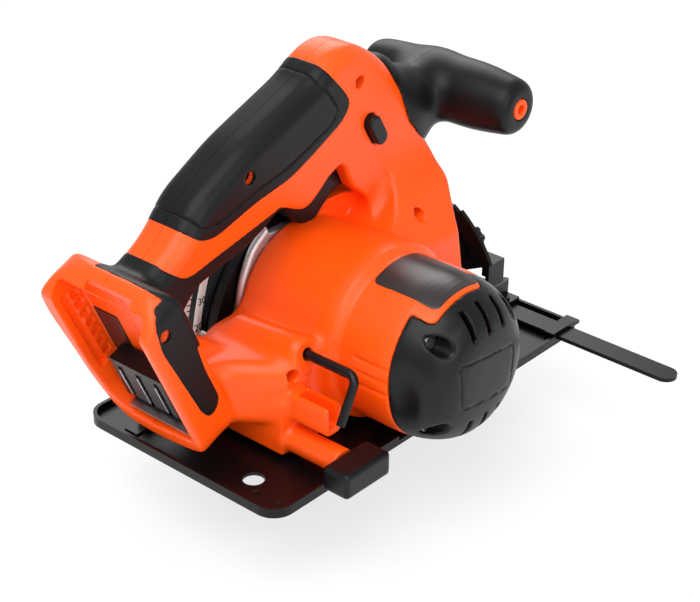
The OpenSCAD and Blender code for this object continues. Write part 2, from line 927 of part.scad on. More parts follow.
module housing_right() {
    color(c_orange)
    difference() {
        intersection() {
            housing_solid();
            union() {
                right_of_seam();
                side(seam_y - 1, case_y)
                    gear_case_room(0);
            }
        }
        housing_hollows();
        difference() {
            grip_zone();
            handle_core();
        }
        pad_zone(-1);
    }
}

// Where the right half runs past the seam up to the gear case
module gear_case_room(grow) {
    translate([motor_x, motor_h - gear_drop])
        circle(r = barrel_r + grow);
    translate([spindle_x, spindle_h])
        circle(r = upper_r - 6 + grow);
}

module housing_left() {
    color(c_orange)
    difference() {
        intersection() {
            housing_solid();
            left_of_seam();
        }
        housing_hollows();
        side(seam_y - 1, case_y + 20)
            gear_case_room(0.3);
        side(seam_y, guard_y)
            case_outline(0.4);
        // slot the depth plate rises through
        side(depth_plate_y - 1, depth_plate_y + bracket_t + 20)
            translate([pivot_x, pivot_h])
                difference() {
                    circle(r = depth_r + depth_band + 1, $fn = 96);
                    circle(r = depth_r - depth_band - 1, $fn = 96);
                }
        difference() {
            grip_zone();
            handle_core();
        }
        pad_zone(1);
    }
}

module grip_piece() {
    intersection() {
        difference() {
            handle_skin();
            handle_core();
        }
        grip_zone();
        children();
    }
}

module grip_right() {
    color(c_soft)
    grip_piece()
        right_of_seam();
}

module grip_left() {
    color(c_soft)
    grip_piece()
        left_of_seam();
}

// Soft pads on the flanks of the battery foot
pad_t = 1.8;

module pad_zone(s) {
    foot_frame()
        translate([0, s * (foot_w / 2 + 3), 0])
            box([11, -3 - pad_t, 12], [foot_d + 14, 10, foot_l - 22]);
}

module foot_pads() {
    color(c_soft)
    for (s = [-1, 1])
        intersection() {
            foot_body();
            foot_frame()
                translate([0, s * (foot_w / 2 + 3), 0])
                    box([11, -3 - pad_t, 12], [foot_d + 14, 3 + pad_t, foot_l - 22]);
        }
}

// Motor ---------------------------------------------------------------------------

can_y0 = -88;
can_y1 = -24;
bearing_or = 11;
front_bearing_y = 2.5;
gear_y0 = 6;
wheel_tip = gear_module * (wheel_teeth / 2 + 0.75);
pinion_tip = gear_module * (pinion_teeth / 2 + 0.75);
needle_y0 = -1;
needle_or = 8;
rear_bearing_or = 8;
rear_bearing_y = -100;

module motor_cap() {
    color(c_black)
    difference() {
        dome(0, barrel_end - gap);
        // room inside, leaving posts for the screws and the rear bearing
        difference() {
            dome(housing_wall, 5);
            for (a = cap_screw_angles)
                y_rod(cap_screw_x(a), cap_screw_z(a), dome_end - 2, barrel_end - gap, 6.2);
            y_rod(motor_x, motor_h, dome_end - 2, rear_bearing_y + 7, rear_bearing_or + 2.5);
        }
        tongue_zone(gap);
        // two rows of upright vents, above and below the plaque
        for (x = vent_x, s = [-1, 1])
            translate([x, dome_end + 10, motor_h + s * vent_rise])
                cube([vent_w, 24, vent_l], center = true);
        // screw seats and holes
        for (a = cap_screw_angles) {
            y_rod(cap_screw_x(a), cap_screw_z(a), dome_end - 2, cap_seat_y, 4.6);
            y_rod(cap_screw_x(a), cap_screw_z(a), dome_end, barrel_end, 2.1);
        }
        // shallow plaque on the end, and the seat of the rear bearing
        translate([motor_x + 2, dome_end, motor_h])
            rotate([0, 4, 0])
                cube([44, 1.2, 24], center = true);
        y_rod(motor_x, motor_h, rear_bearing_y, rear_bearing_y + 10, rear_bearing_or);
    }
}

vent_x = [-23, -11.4, 0.2, 11.6];
vent_w = 2.8;
vent_l = 15;
vent_rise = 30;
cap_screw_angles = [138.5, 219.5, 318.5, 41.5];
cap_screw_r = barrel_r - 8.5;
cap_boss_r = 5;
cap_seat_y = -90;
function cap_screw_x(a) = motor_x + cap_screw_r * cos(a);
function cap_screw_z(a) = motor_h + cap_screw_r * sin(a);

// A pan-head screw along Y, head towards -Y
module y_screw(x, z, y_seat, head_r, head_h, shank_r, shank_l) {
    difference() {
        y_rod(x, z, y_seat - head_h, y_seat, head_r);
        translate([x, y_seat - head_h + 0.6, z])
            for (a = [0, 90])
                rotate([0, a, 0])
                    cube([head_r * 1.3, 1.6, 0.9], center = true);
    }
    y_rod(x, z, y_seat, y_seat + shank_l, shank_r);
}

module cap_screws() {
    color(c_steel)
    for (a = cap_screw_angles)
        y_screw(cap_screw_x(a), cap_screw_z(a), cap_seat_y, 4, 2.6, 2, 22);
}

module motor_can() {
    color(c_steel)
    difference() {
        y_rod(motor_x, motor_h, can_y0, can_y1, can_r);
        y_rod(motor_x, motor_h, can_y0 - 1, can_y1 - 2, can_r - 2);
        y_rod(motor_x, motor_h, can_y0, can_y1 + 1, 9);
    }
}

module magnets() {
    color([0.25, 0.25, 0.27])
    difference() {
        y_ring(motor_x, motor_h, -64, -30, can_r - 2, armature_r + 0.8);
        box([motor_x - 6, -80, -20], [motor_x + 6, 0, 200]);
    }
}

brush_mid = 17.4;

module brush_plate() {
    color(c_black) {
        y_ring(motor_x, motor_h, -88, -84.5, can_r - 2, 12);
        // a cage round each brush
        for (s = [-1, 1])
            difference() {
                translate([motor_x, -79.5, motor_h + s * (brush_mid + 1)])
                    cube([11, 10 + eps, 9], center = true);
                translate([motor_x, -79, motor_h + s * brush_mid])
                    cube([7, 7, 14], center = true);
            }
    }
}

module brushes() {
    color([0.2, 0.2, 0.21])
    for (s = [-1, 1])
        translate([motor_x, -79, motor_h + s * brush_mid])
            cube([7, 7, 12], center = true);
}

module front_bearing() {
    color(c_steel)
    y_ring(motor_x, motor_h, front_bearing_y - 7, front_bearing_y, bearing_or, 4);
}

module rear_bearing() {
    color(c_steel)
    y_ring(motor_x, motor_h, rear_bearing_y, rear_bearing_y + 6, rear_bearing_or, 4);
}

module pinion_bush() {
    color([0.72, 0.6, 0.3])
    y_ring(motor_x, motor_h, case_y, case_y + 4, 5, 2.5 + fit);
}

module armature_shaft() {
    color(c_steel) {
        y_rod(motor_x, motor_h, rear_bearing_y + 0.5, gear_y0 + 2.5, 4 - fit);
        y_rod(motor_x, motor_h, gear_y0 + 2.5, case_y + 3.5, 2.5);
    }
}

module armature_core() {
    color(c_copper)
    difference() {
        y_rod(motor_x, motor_h, -62, -32, armature_r);
        y_rod(motor_x, motor_h, -63, -31, 4 - fit);
        for (i = [0:11])
            translate([motor_x, 0, motor_h])
                rotate([0, i * 30, 0])
                    translate([armature_r, -47, 0])
                        cube([5, 31, 2.4], center = true);
    }
}

module commutator() {
    color(c_copper)
    y_ring(motor_x, motor_h, -85, -73, 11, 4 - fit);
}

fan_r = 37;

module fan() {
    color(c_black)
    difference() {
        union() {
            y_rod(motor_x, motor_h, -20, -18, fan_r);
            y_rod(motor_x, motor_h, -18, -12, 9);
            for (i = [0:10])
                translate([motor_x, 0, motor_h])
                    rotate([0, i * 360 / 11, 0])
                        translate([10, -18 - eps, -1])
                            cube([fan_r - 12, 8, 1.6]);
        }
        y_rod(motor_x, motor_h, -21, -11, 4 - fit);
    }
}

module pinion() {
    color(c_steel)
    translate([motor_x, gear_y1 + 1, motor_h])
        rotate([90, 0, 0])
            linear_extrude(gear_y1 - gear_y0 - 1.5)
                difference() {
                    rotate(mesh_angle)
                        gear_outline(pinion_teeth, gear_module);
                    circle(r = 2.5);
                }
}

gear_y1 = 19;
// Face of the spindle gear, and the collar behind it that the lock pin enters
wheel_y0 = 11.8;
collar_y0 = 6.8;
collar_r = 11;
// Direction from the pinion to the wheel, and the pinion's turn that puts a tooth in a gap
line_angle = atan2(spindle_h - motor_h, gear_lead);
mesh_angle = line_angle;

module spur_gear() {
    color(c_steel)
    translate([spindle_x, gear_y1, spindle_h])
        rotate([90, 0, 0])
            linear_extrude(gear_y1 - wheel_y0)
                difference() {
                    rotate(line_angle + 180 + 180 / wheel_teeth)
                        gear_outline(wheel_teeth, gear_module);
                    circle(r = spindle_r);
                }
}

// Gear case and guards --------------------------------------------------------------

nose_r = 17;
case_top = 91;
nose_y = 34;
spindle_r = 7;
ball_or = 14;

module case_outline(grow) {
    intersection() {
        translate([45, 27])
            circle(r = 104 + grow);
        translate([spindle_x, spindle_h])
            circle(r = upper_r + grow);
        translate([-150, 8])
            square([300, case_top + grow - 8]);
    }
    translate([pivot_x, pivot_h])
        circle(r = lug_r + grow);
    polygon([[40, 14], [pivot_x, pivot_h - lug_r - grow], [pivot_x, pivot_h + lug_r + grow], [50, 40]]);
}

module gear_case() {
    color(c_cast)
    difference() {
        union() {
            side(case_y, guard_y)
                case_outline(0);
            y_rod(spindle_x, spindle_h, guard_y - eps, nose_y, nose_r);
        }
        y_rod(spindle_x, spindle_h, case_y - 1, nose_y - 2.5, ball_or);
        y_rod(spindle_x, spindle_h, case_y, nose_y + 1, spindle_r + 1.5);
        y_rod(motor_x, motor_h, case_y - 1, case_y + 4, 5);
        y_rod(motor_x, motor_h, case_y - 1, case_y + 4.6, 3.2);
        y_rod(pivot_x, pivot_h, case_y - 1, guard_y + 1, depth_pin_r + fit);
        // shallow step round the rim
        side(case_y - 1, case_y + 1.6)
            difference() {
                translate([-150, -50])
                    square([300, 200]);
                case_outline(-4);
                translate([20, -20])
                    square([100, 120]);
            }
        for (p = guard_screw_places)
            y_rod(p[0], p[1], case_y - 1, guard_y + 1, 1.8);
    }
}

guard_screw_places = [[-30, 78], [34, 76], [56, 50]];

module upper_guard() {
    color(c_black)
    difference() {
        y_rod(spindle_x, spindle_h, guard_y, guard_out_y, upper_r);
        y_rod(spindle_x, spindle_h, guard_y + upper_wall, guard_out_y - upper_wall, upper_r - upper_wall);
        // bore round the gear case's nose, and access to the blade bolt
        y_rod(spindle_x, spindle_h, guard_y - 1, guard_y + 10, nose_r + 4);
        y_rod(spindle_x, spindle_h, guard_y + 10, guard_out_y + 1, 30);
        // two shallow grooves round the rim
        for (y = [guard_y + 5, guard_y + 12])
            y_ring(spindle_x, spindle_h, y, y + 2.4, upper_r + 1, upper_r - 0.8);
        // open underside
        box([-120, guard_y - 1, -100], [120, guard_out_y + 1, guard_floor]);
        guard_screw_holes();
        // arc slot for the guard's retracting knob
        side(guard_out_y - 5, guard_out_y + 1)
            translate([spindle_x, spindle_h])
                arc_slot(knob_r, knob_peg_r + gap, knob_angle - guard_swing - 2, knob_angle + 2);
    }
}

module guard_screw_holes() {
    for (p = guard_screw_places) {
        y_rod(p[0], p[1], case_y - 1, guard_y + 4, 1.9);
        y_cone(p[0], p[1], guard_y + 0.4, guard_y + upper_wall + eps, 1.75, 3.35);
    }
}

knob_r = 60;
knob_angle = 165;
knob_peg_r = 2.8;
guard_floor = 19;

module guard_screws() {
    color(c_steel)
    for (p = guard_screw_places)
        difference() {
            union() {
                y_rod(p[0], p[1], case_y + 0.6, guard_y + upper_wall, 1.8);
                y_cone(p[0], p[1], guard_y + 0.4, guard_y + upper_wall, 1.6, 3.2);
            }
            translate([p[0], guard_y + upper_wall, p[1]])
                cube([7, 1, 0.9], center = true);
        }
}

module guard_spring() {
    color(c_steel)
    for (y = [guard_y + 0.6, guard_y + 1.7])
        translate([spindle_x, y, spindle_h])
            rotate([90, 0, 0])
                rotate_extrude()
                    translate([nose_r + 1.2, 0])
                        circle(r = 0.55, $fn = 16);
}

guard_back = 158;
lower_y0 = guard_y + upper_wall + 0.6;
lower_y1 = guard_out_y - upper_wall - 0.6;

module lower_guard() {
    color(c_cast)
    difference() {
        union() {
            difference() {
                y_rod(spindle_x, spindle_h, lower_y0, lower_y1, lower_r);
                y_rod(spindle_x, spindle_h,
                      lower_y0 + lower_wall, lower_y1 - lower_wall, lower_r - lower_wall);
                y_rod(spindle_x, spindle_h, lower_y0 + 5, lower_y1 + 1, 48);
                // keep the lower sector only
                side(lower_y0 - 1, lower_y1 + 1)
                    translate([spindle_x, spindle_h])
                        pie(lower_r + 20, 6, guard_back);
            }
            y_rod(spindle_x, spindle_h, lower_y0, lower_y0 + 2.4, nose_r + 6);
        }
        y_rod(spindle_x, spindle_h, lower_y0 - 1, lower_y0 + 6, nose_r + fit);
        for (a = [215:22:325])
            translate([spindle_x, 0, spindle_h])
                rotate([0, -a, 0])
                    translate([44, lower_y0 - 1, 0])
                        rotate([-90, 0, 0])
                            cylinder(h = 4, r = 4);
    }
}

module guard_knob() {
    color(c_black)
    translate([spindle_x, 0, spindle_h])
        rotate([0, -knob_angle, 0]) {
            y_rod(knob_r, 0, lower_y1 - eps, guard_out_y + gap, knob_peg_r);
            y_rod(knob_r, 0, guard_out_y + gap, guard_out_y + gap + 7, 5);
        }
}

// Spindle group ------------------------------------------------------------------------

module spindle() {
    color(c_steel)
    difference() {
        union() {
            y_rod(spindle_x, spindle_h, needle_y0 + 0.5, gear_y0 + 0.5, 5 - fit);
            y_rod(spindle_x, spindle_h, gear_y0 + 0.5, case_y + 1, spindle_r);
            y_rod(spindle_x, spindle_h, case_y + 1, flange_y, 6 - fit);
            // collar with four holes for the lock pin
            y_rod(spindle_x, spindle_h, collar_y0, wheel_y0, collar_r);
        }
        translate([spindle_x, lock_y, spindle_h])
            for (a = [0:90:270])
                rotate([0, a, 0])
                    translate([spindle_r + 0.4, 0, 0])
                        rotate([0, 90, 0])
                            cylinder(h = collar_r, r = lock_pin_r + 0.3);
        y_rod(spindle_x, spindle_h, flange_y - 16, flange_y + 1, 3);
    }
}

flange_y = blade_y - blade_t / 2 - 4.6;
flange_r = 17;

module inner_flange() {
    color(c_steel)
    difference() {
        union() {
            y_rod(spindle_x, spindle_h, flange_y, blade_y - blade_t / 2, flange_r);
            y_rod(spindle_x, spindle_h,
                  blade_y - blade_t / 2 - eps, blade_y + blade_t / 2 - 0.1, blade_bore / 2 - fit);
        }
        y_rod(spindle_x, spindle_h, flange_y - 1, blade_y + 2, 3);
    }
}

module spindle_bearing() {
    color(c_steel)
    y_ring(spindle_x, spindle_h, nose_y - 10.5, nose_y - 2.5, ball_or, 6);
}

module needle_bearing() {
    color(c_steel)
    y_ring(spindle_x, spindle_h, needle_y0, gear_y0, needle_or, 5);
}

// Toothed disc with raked teeth, gullets and expansion slots
module blade_outline() {
    step = 360 / blade_teeth;
    polygon([for (k = [0:blade_teeth - 1])
        for (p = [[blade_r, 0], [blade_r - 1.2, -0.34 * step], [blade_r - 5.2, -0.62 * step],
            [blade_r - 7.4, -0.78 * step], [blade_r - 6.6, -0.92 * step], [blade_r - 3.5, -0.97 * step]])
        p[0] * [cos(p[1] - k * step), sin(p[1] - k * step)]]);
}

module blade() {
    color(c_steel)
    translate([spindle_x, blade_y, spindle_h])
        rotate([90, 0, 0]) {
            difference() {
                translate([0, 0, -blade_t / 2])
                    linear_extrude(blade_t)
                        difference() {
                            blade_outline();
                            circle(r = blade_bore / 2);
                            for (i = [0:3])
                                rotate(i * 90 + 20) {
                                    translate([blade_r - 17, 0])
                                        circle(r = 2);
                                    translate([blade_r - 17, -0.5])
                                        square([20, 1]);
                                }
                        }
            }
            // carbide tips, slightly wider than the disc
            for (k = [0:blade_teeth - 1])
                rotate(-k * 360 / blade_teeth)
                    translate([blade_r - 4.6, -1.7, -blade_t / 2 - 0.3])
                        cube([4.9, 1.8, blade_t + 0.6]);
        }
}

module outer_flange() {
    color(c_steel)
    difference() {
        union() {
            y_rod(spindle_x, spindle_h, blade_y + blade_t / 2, blade_y + blade_t / 2 + 2.4, flange_r - 1);
            y_cone(spindle_x, spindle_h,
                   blade_y + blade_t / 2 + 2.4, blade_y + blade_t / 2 + 3.6, flange_r - 2, 10);
        }
        y_rod(spindle_x, spindle_h, blade_y, blade_y + 8, 3);
    }
}

module blade_bolt() {
    color(c_steel)
    difference() {
        union() {
            y_rod(spindle_x, spindle_h, flange_y - 14, blade_y + blade_t / 2 + 3.6, 3);
            y_rod(spindle_x, spindle_h, blade_y + blade_t / 2 + 3.6, blade_y + blade_t / 2 + 8.4, 6.2);
        }
        translate([spindle_x, blade_y + blade_t / 2 + 5.4, spindle_h])
            rotate([-90, 0, 0])
                cylinder(h = 5, r = (key_af + 0.1) / sqrt(3), $fn = 6);
    }
}

// Depth clamp, locks and switch ------------------------------------------------------------

module depth_bolt() {
    color(c_steel) {
        y_rod(clamp_x, clamp_h, lever_y - 10, depth_plate_y + bracket_t + gap, clamp_bolt_r);
        y_rod(clamp_x, clamp_h, depth_plate_y + bracket_t + gap, depth_plate_y + bracket_t + gap + 2.4, 6);
    }
}

lever_l = 34;
lever_w = 17;
lever_t = 14;

module depth_lever() {
    color(c_black)
    difference() {
        translate([clamp_x, lever_y - lever_w / 2, clamp_h - 0.8])
            rotate([90, 0, 0])
                linear_extrude(lever_w, center = true)
                    round_rect(lever_l, lever_t, 2.4);
        y_rod(clamp_x, clamp_h, lever_y - 10 - gap, lever_y + 1, clamp_bolt_r + fit);
    }
}

lock_y = collar_y0 + 2.5;
lock_pin_r = 1.5;
lock_button_r = 5;
lock_push = 4;
lock_seat_x = 64;
lock_out_x = 78;

module spindle_lock() {
    color(c_black) {
        x_rod(lock_y, spindle_h, spindle_x + collar_r + 0.4, lock_seat_x + lock_push, lock_pin_r);
        x_rod(lock_y, spindle_h, lock_seat_x + lock_push, lock_out_x, lock_button_r);
    }
}

module lock_off_outline(grow) {
    translate([28.6, 137.8])
        rotate(120.5)
            round_rect(18 + 2 * grow, 8.4 + 2 * grow, 3 + grow);
}

lock_off_out = 4.5;

module lock_off_button() {
    color(c_black)
    side(seam_y - handle_half - lock_off_out, seam_y + handle_half - 0.5)
        lock_off_outline(0);
}

trigger_y0 = seam_y - 7.2;
trigger_y1 = seam_y + 7.2;
trigger_pin_x = 14;
trigger_pin_z = 114;

module trigger() {
    color(c_black)
    side(trigger_y0, trigger_y1)
        difference() {
            polygon([[18, 118], [21, 105.4], [13.8, 105.9], [6.4, 103.5], [0.5, 99.1], [-5.5, 93.8],
                [-11.3, 92.3], [-17, 94.5], [-24, 100], [-31, 108], [-31, 116], [6, 118]]);
            translate([trigger_pin_x, trigger_pin_z])
                circle(r = 2 + fit);
        }
}

module trigger_pin() {
    color(c_steel)
    y_rod(trigger_pin_x, trigger_pin_z, trigger_y0 - 4, trigger_y1 + 4, 2);
}

module switch_body() {
    color(c_black)
    side(seam_y - 9, seam_y + 9)
        polygon([[-34, 127], [2, 130], [8, 148], [-12, 160], [-40, 148]]);
}

// Battery interface ----------------------------------------------------------------------

module terminal_block() {
    color(c_black)
    foot_frame()
        difference() {
            box([6, -19, 11], [foot_in, 19, 40]);
            for (y = [-13, 0, 13])
                box([5, y - 1.6, 10], [foot_in - 3, y + 1.6, 36]);
        }
}

module contact_blades() {
    color(c_steel)
    foot_frame()
        for (y = [-13, 0, 13])
            box([5, y - 0.5, 14], [foot_in - 3.2, y + 0.5, 34]);
}

module rail_plate() {
    color(c_steel)
    foot_frame()
        box([2, -foot_w / 2 + foot_wall, foot_wall + 1.2],
            [foot_in - 1, foot_w / 2 - 22, foot_wall + 2.4]);
}

// Auxiliary handle --------------------------------------------------------------------------

aux_x = 100;
aux_z = 139;
aux_mid = 14.5;

module aux_bar() {
    translate([aux_x, aux_mid, aux_z])
        rotate([90, 0, 0])
            rotate_extrude($fn = 48)
                polygon([[0, -aux_l / 2], [aux_r * 0.45, -aux_l / 2], [aux_r * 0.8, -aux_l / 2 + 4],
                    [aux_r, -aux_l / 2 + 13], [aux_r, aux_l / 2 - 13], [aux_r * 0.8, aux_l / 2 - 4],
                    [aux_r * 0.45, aux_l / 2], [0, aux_l / 2]]);
}

// Neck that flares on to the head's sloping front
module aux_neck() {
    hull() {
        translate([58, seam_y, 144])
            rotate([0, 58, 0])
                scale([1, 0.5, 1])
                    cylinder(h = 6, r = 30, $fn = 32);
        translate([76, seam_y, 140])
            rotate([0, 80, 0])
                scale([1, 0.72, 1])
                    cylinder(h = 2, r = 19, $fn = 32);
    }
    hull() {
        translate([76, seam_y, 140])
            rotate([0, 80, 0])
                scale([1, 0.72, 1])
                    cylinder(h = 2, r = 19, $fn = 32);
        translate([aux_x, seam_y, aux_z])
            rotate([90, 0, 0])
                cylinder(h = 32, r = aux_r - 0.5, $fn = 32, center = true);
    }
}

module aux_solid() {
    difference() {
        union() {
            aux_bar();
            difference() {
                aux_neck();
                side(seam_y - 60, seam_y + 60)
                    offset(delta = 0.05)
                        frame_outline();
            }
        }
        translate([aux_x, aux_mid - aux_l / 2 - 1, aux_z])
            rotate([-90, 0, 0])
                cylinder(h = 9, r = cap_ring_r);
    }
}

cap_ring_r = 5.8;

module aux_handle_right() {
    color(c_soft)
    intersection() {
        aux_solid();
        right_of_seam();
    }
}

module aux_handle_left() {
    color(c_soft)
    intersection() {
        aux_solid();
        left_of_seam();
    }
}

module aux_end_cap() {
    color(c_orange)
    difference() {
        y_rod(aux_x, aux_z, aux_mid - aux_l / 2 - 0.4, aux_mid - aux_l / 2 + 8, cap_ring_r);
        y_rod(aux_x, aux_z, aux_mid - aux_l / 2 - 1, aux_mid - aux_l / 2 + 5, 3.3);
    }
}

module housing_screws() {
    color(c_steel)
    for (p = screw_places)
        y_screw(p[0], p[1], p[2] + 3.5, 3, 2.4, 1.5, 16);
}

// Hex key -----------------------------------------------------------------------------------

key_hole_end = 2;
key_out_y = key_hole_end - 2 - key_long;
key_hang = 27;

module hex_key() {
    color(c_black) {
        translate([key_x, key_out_y, key_z])
            rotate([-90, 0, 0])
                cylinder(h = key_long, r = key_af / sqrt(3), $fn = 6);
        translate([key_x, key_out_y, key_z])
            rotate([0, 180 + key_hang, 0])
                translate([0, 0, -key_af / 2])
                    cylinder(h = key_short, r = key_af / sqrt(3), $fn = 6);
    }
}

// Nodes -------------------------------------------------------------------------------------

base_plate();
bevel_quadrant();
hinge_ears();
bevel_rivets();
guide_bar();
guide_fence();
guide_screw();
front_bracket();
depth_quadrant();
depth_pivot_pin();
bevel_bolt();
bevel_knob();
housing_right();
housing_left();
grip_right();
grip_left();
foot_pads();
motor_cap();
cap_screws();
motor_can();
magnets();
brush_plate();
brushes();
front_bearing();
rear_bearing();
pinion_bush();
spindle_bearing();
needle_bearing();
gear_case();
upper_guard();
guard_spring();
terminal_block();
contact_blades();
rail_plate();
switch_body();
trigger_pin();
aux_handle_right();
aux_handle_left();
aux_end_cap();
housing_screws();
guard_screws();
depth_bolt();
trigger();
lock_off_button();
spindle_lock();
depth_lever();
lower_guard();
guard_knob();
spindle();
spur_gear();
inner_flange();
blade();
outer_flange();
blade_bolt();
armature_shaft();
armature_core();
commutator();
fan();
pinion();
hex_key();
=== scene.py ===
"""Cordless circular saw without its battery: housing, grips, motor cap, handles, base and guide bar."""
import functools
import json
import logging
import math
from dataclasses import dataclass, field
from enum import Enum
from typing import Any, Callable, Iterable, Sequence

import bmesh
import bpy
import numpy as np
from mathutils import Matrix, Vector
from mathutils.geometry import delaunay_2d_cdt


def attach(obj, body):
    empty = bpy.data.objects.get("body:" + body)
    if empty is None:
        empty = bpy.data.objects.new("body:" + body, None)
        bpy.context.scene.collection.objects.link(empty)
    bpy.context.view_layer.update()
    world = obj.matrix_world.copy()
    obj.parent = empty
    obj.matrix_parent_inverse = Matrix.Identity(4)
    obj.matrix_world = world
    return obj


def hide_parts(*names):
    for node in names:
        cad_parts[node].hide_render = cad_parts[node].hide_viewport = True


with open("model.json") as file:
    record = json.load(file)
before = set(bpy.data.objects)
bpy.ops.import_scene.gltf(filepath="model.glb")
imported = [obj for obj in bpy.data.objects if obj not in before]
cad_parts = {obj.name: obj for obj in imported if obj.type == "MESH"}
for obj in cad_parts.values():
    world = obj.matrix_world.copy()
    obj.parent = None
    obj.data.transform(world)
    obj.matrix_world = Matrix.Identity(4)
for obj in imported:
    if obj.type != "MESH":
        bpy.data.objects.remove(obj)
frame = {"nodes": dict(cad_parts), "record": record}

LOG = logging.getLogger("saw")
MM = 0.001
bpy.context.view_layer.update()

# Main planes and axes of the saw, in millimetres
SEAM_Y = 20.5
HANDLE_HALF = 16.5
MOTOR_X = -12.0
MOTOR_Z = 48.9
SPINDLE_X = 2.6
SPINDLE_Z = 29.0
BARREL_R = 45.2
BARREL_END = -79.5
DOME_MEET = -58.0
DOME_START = -71.0
DOME_END = -109.6
WALL_Y = -37.0
GEAR_FACE_Y = 22.3
TUBE_X, TUBE_Z = -79.7, 12.8
KEY_X, KEY_Z = -69.0, 57.5
LOCK_PIN_Y = 9.3
LOCK_OFF_X, LOCK_OFF_Z, LOCK_OFF_TURN = 28.6, 137.8, 120.5

# Half the gap at a parting line, in hard plastic and in rubber
HARD_SLIT = 0.14
SOFT_SLIT = 0.1
SHARP_ANGLE = math.radians(42)

# Corner points in millimetres, and quads
Skin = tuple[np.ndarray, np.ndarray]


# ---------------------------------------------------------------- small maths

def smooth_min(a: np.ndarray, b: np.ndarray, k: float) -> np.ndarray:
    """Smaller of two distances, rounded over a width k where they meet.

    Args:
        a: First distances.
        b: Second distances.
        k: Width of the rounding in millimetres, 0 for a plain corner.

    Returns:
        The joined distances.
    """
    if k <= 0:
        return np.minimum(a, b)
    h = np.maximum(k - np.abs(a - b), 0.0) / k
    return np.minimum(a, b) - h * h * k * 0.25


class Field:
    """A solid as a signed distance in millimetres, below zero inside."""

    def __init__(self, distance: Callable[[np.ndarray], np.ndarray]) -> None:
        """Keeps the distance function."""
        self.distance = distance

    def __call__(self, p: np.ndarray) -> np.ndarray:
        """Signed distance at each of the points p."""
        return self.distance(p)

    def join(self, other: "Field", k: float = 0.0) -> "Field":
        """This solid and the other as one, with a fillet of width k."""
        return Field(lambda p: smooth_min(self(p), other(p), k))

    def cut(self, other: "Field", k: float = 0.0) -> "Field":
        """This solid with the other taken away, its edge rounded over k."""
        return Field(lambda p: -smooth_min(-self(p), other(p), k))

    def meet(self, other: "Field", k: float = 0.0) -> "Field":
        """What this solid and the other have in common."""
        return Field(lambda p: -smooth_min(-self(p), -other(p), k))

    def grow(self, r: float) -> "Field":
        """This solid made thicker by r all over, or thinner if r is negative."""
        return Field(lambda p: self(p) - r)


def rounded(points: Sequence[Sequence[float]], r: float, steps: int = 5) -> np.ndarray:
    """Closed outline with every corner turned into a small curve.

    Args:
        points: Corners as (u, v) or (u, v, its own radius).
        r: Reach of the rounding along each edge.
        steps: Points in each curve.

    Returns:
        The outline as an array of (u, v).
    """
    out = []
    pts = [np.array(q[:2], float) for q in points]
    for i, here in enumerate(pts):
        reach = points[i][2] if len(points[i]) > 2 else r
        before, after = pts[i - 1] - here, pts[(i + 1) % len(pts)] - here
        la, lb = np.linalg.norm(before), np.linalg.norm(after)
        a = here + before / la * min(reach, la * 0.5)
        b = here + after / lb * min(reach, lb * 0.5)
        for t in np.linspace(0, 1, steps):
            out.append((1 - t) ** 2 * a + 2 * t * (1 - t) * here + t * t * b)
    return np.array(out)


class Outline:
    """A closed flat outline whose distance is looked up on a fine grid."""

    def __init__(self, points: Sequence[Sequence[float]], r: float = 0.0, pitch: float = 0.5,
            margin: float = 16.0) -> None:
        """Builds the distance grid.

        Args:
            points: Corners of the outline.
            r: Reach of the corner rounding.
            pitch: Grid spacing.
            margin: How far the grid goes past the outline.
        """
        poly = rounded(points, r) if r > 0 else np.array([q[:2] for q in points], float)
        self.lo = poly.min(0) - margin
        self.pitch = pitch
        self.n = np.ceil((poly.max(0) + margin - self.lo) / pitch).astype(int) + 1
        u = self.lo[0] + pitch * np.arange(self.n[0])[:, None]
        v = self.lo[1] + pitch * np.arange(self.n[1])[None, :]
        best = np.full(self.n, 1e18)
        inside = np.zeros(self.n, bool)
        for (ax, ay), (bx, by) in zip(poly, np.roll(poly, -1, 0)):
            ex, ey = bx - ax, by - ay
            length = ex * ex + ey * ey
            if length < 1e-12:
                continue
            t = np.clip(((u - ax) * ex + (v - ay) * ey) / length, 0, 1)
            best = np.minimum(best, (u - ax - t * ex) ** 2 + (v - ay - t * ey) ** 2)
            if ay != by:
                crosses = ((ay > v) != (by > v)) & (u < ex * (v - ay) / ey + ax)
                inside ^= crosses
        self.grid = np.sqrt(best) * np.where(inside, -1, 1)

    def __call__(self, u: np.ndarray, v: np.ndarray) -> np.ndarray:
        """Signed distance at (u, v).

        Args:
            u: First coordinates.
            v: Second coordinates.

        Returns:
            Signed distances.
        """
        gu, gv = (u - self.lo[0]) / self.pitch, (v - self.lo[1]) / self.pitch
        cu, cv = np.clip(gu, 0, self.n[0] - 1.001), np.clip(gv, 0, self.n[1] - 1.001)
        i, j = cu.astype(int), cv.astype(int)
        fu, fv = cu - i, cv - j
        g = self.grid
        near = g[i, j] * (1 - fu) + g[i + 1, j] * fu
        far = g[i, j + 1] * (1 - fu) + g[i + 1, j + 1] * fu
        return near * (1 - fv) + far * fv + np.hypot(gu - cu, gv - cv) * self.pitch


AXES = {"x": (1, 2, 0), "y": (0, 2, 1), "z": (0, 1, 2)}


def corner(a: np.ndarray, b: np.ndarray, r: float) -> np.ndarray:
    """Distance of a corner between two faces, rounded by r."""
    u, v = a + r, b + r
    return np.minimum(np.maximum(u, v), 0) + np.hypot(np.maximum(u, 0), np.maximum(v, 0)) - r


def prism(axis: str, shape: Outline, lo: float, hi: float, r: float = 0.0) -> Field:
    """An outline pushed along an axis between lo and hi, its rims rounded by r.

    Args:
        axis: The axis.
        shape: The outline.
        lo: Where it starts.
        hi: Where it ends.
        r: Rounding of the rims.

    Returns:
        The solid.
    """
    a, b, c = AXES[axis]
    mid, half = (lo + hi) / 2, (hi - lo) / 2
    return Field(lambda p: corner(shape(p[:, a], p[:, b]), np.abs(p[:, c] - mid) - half, r))


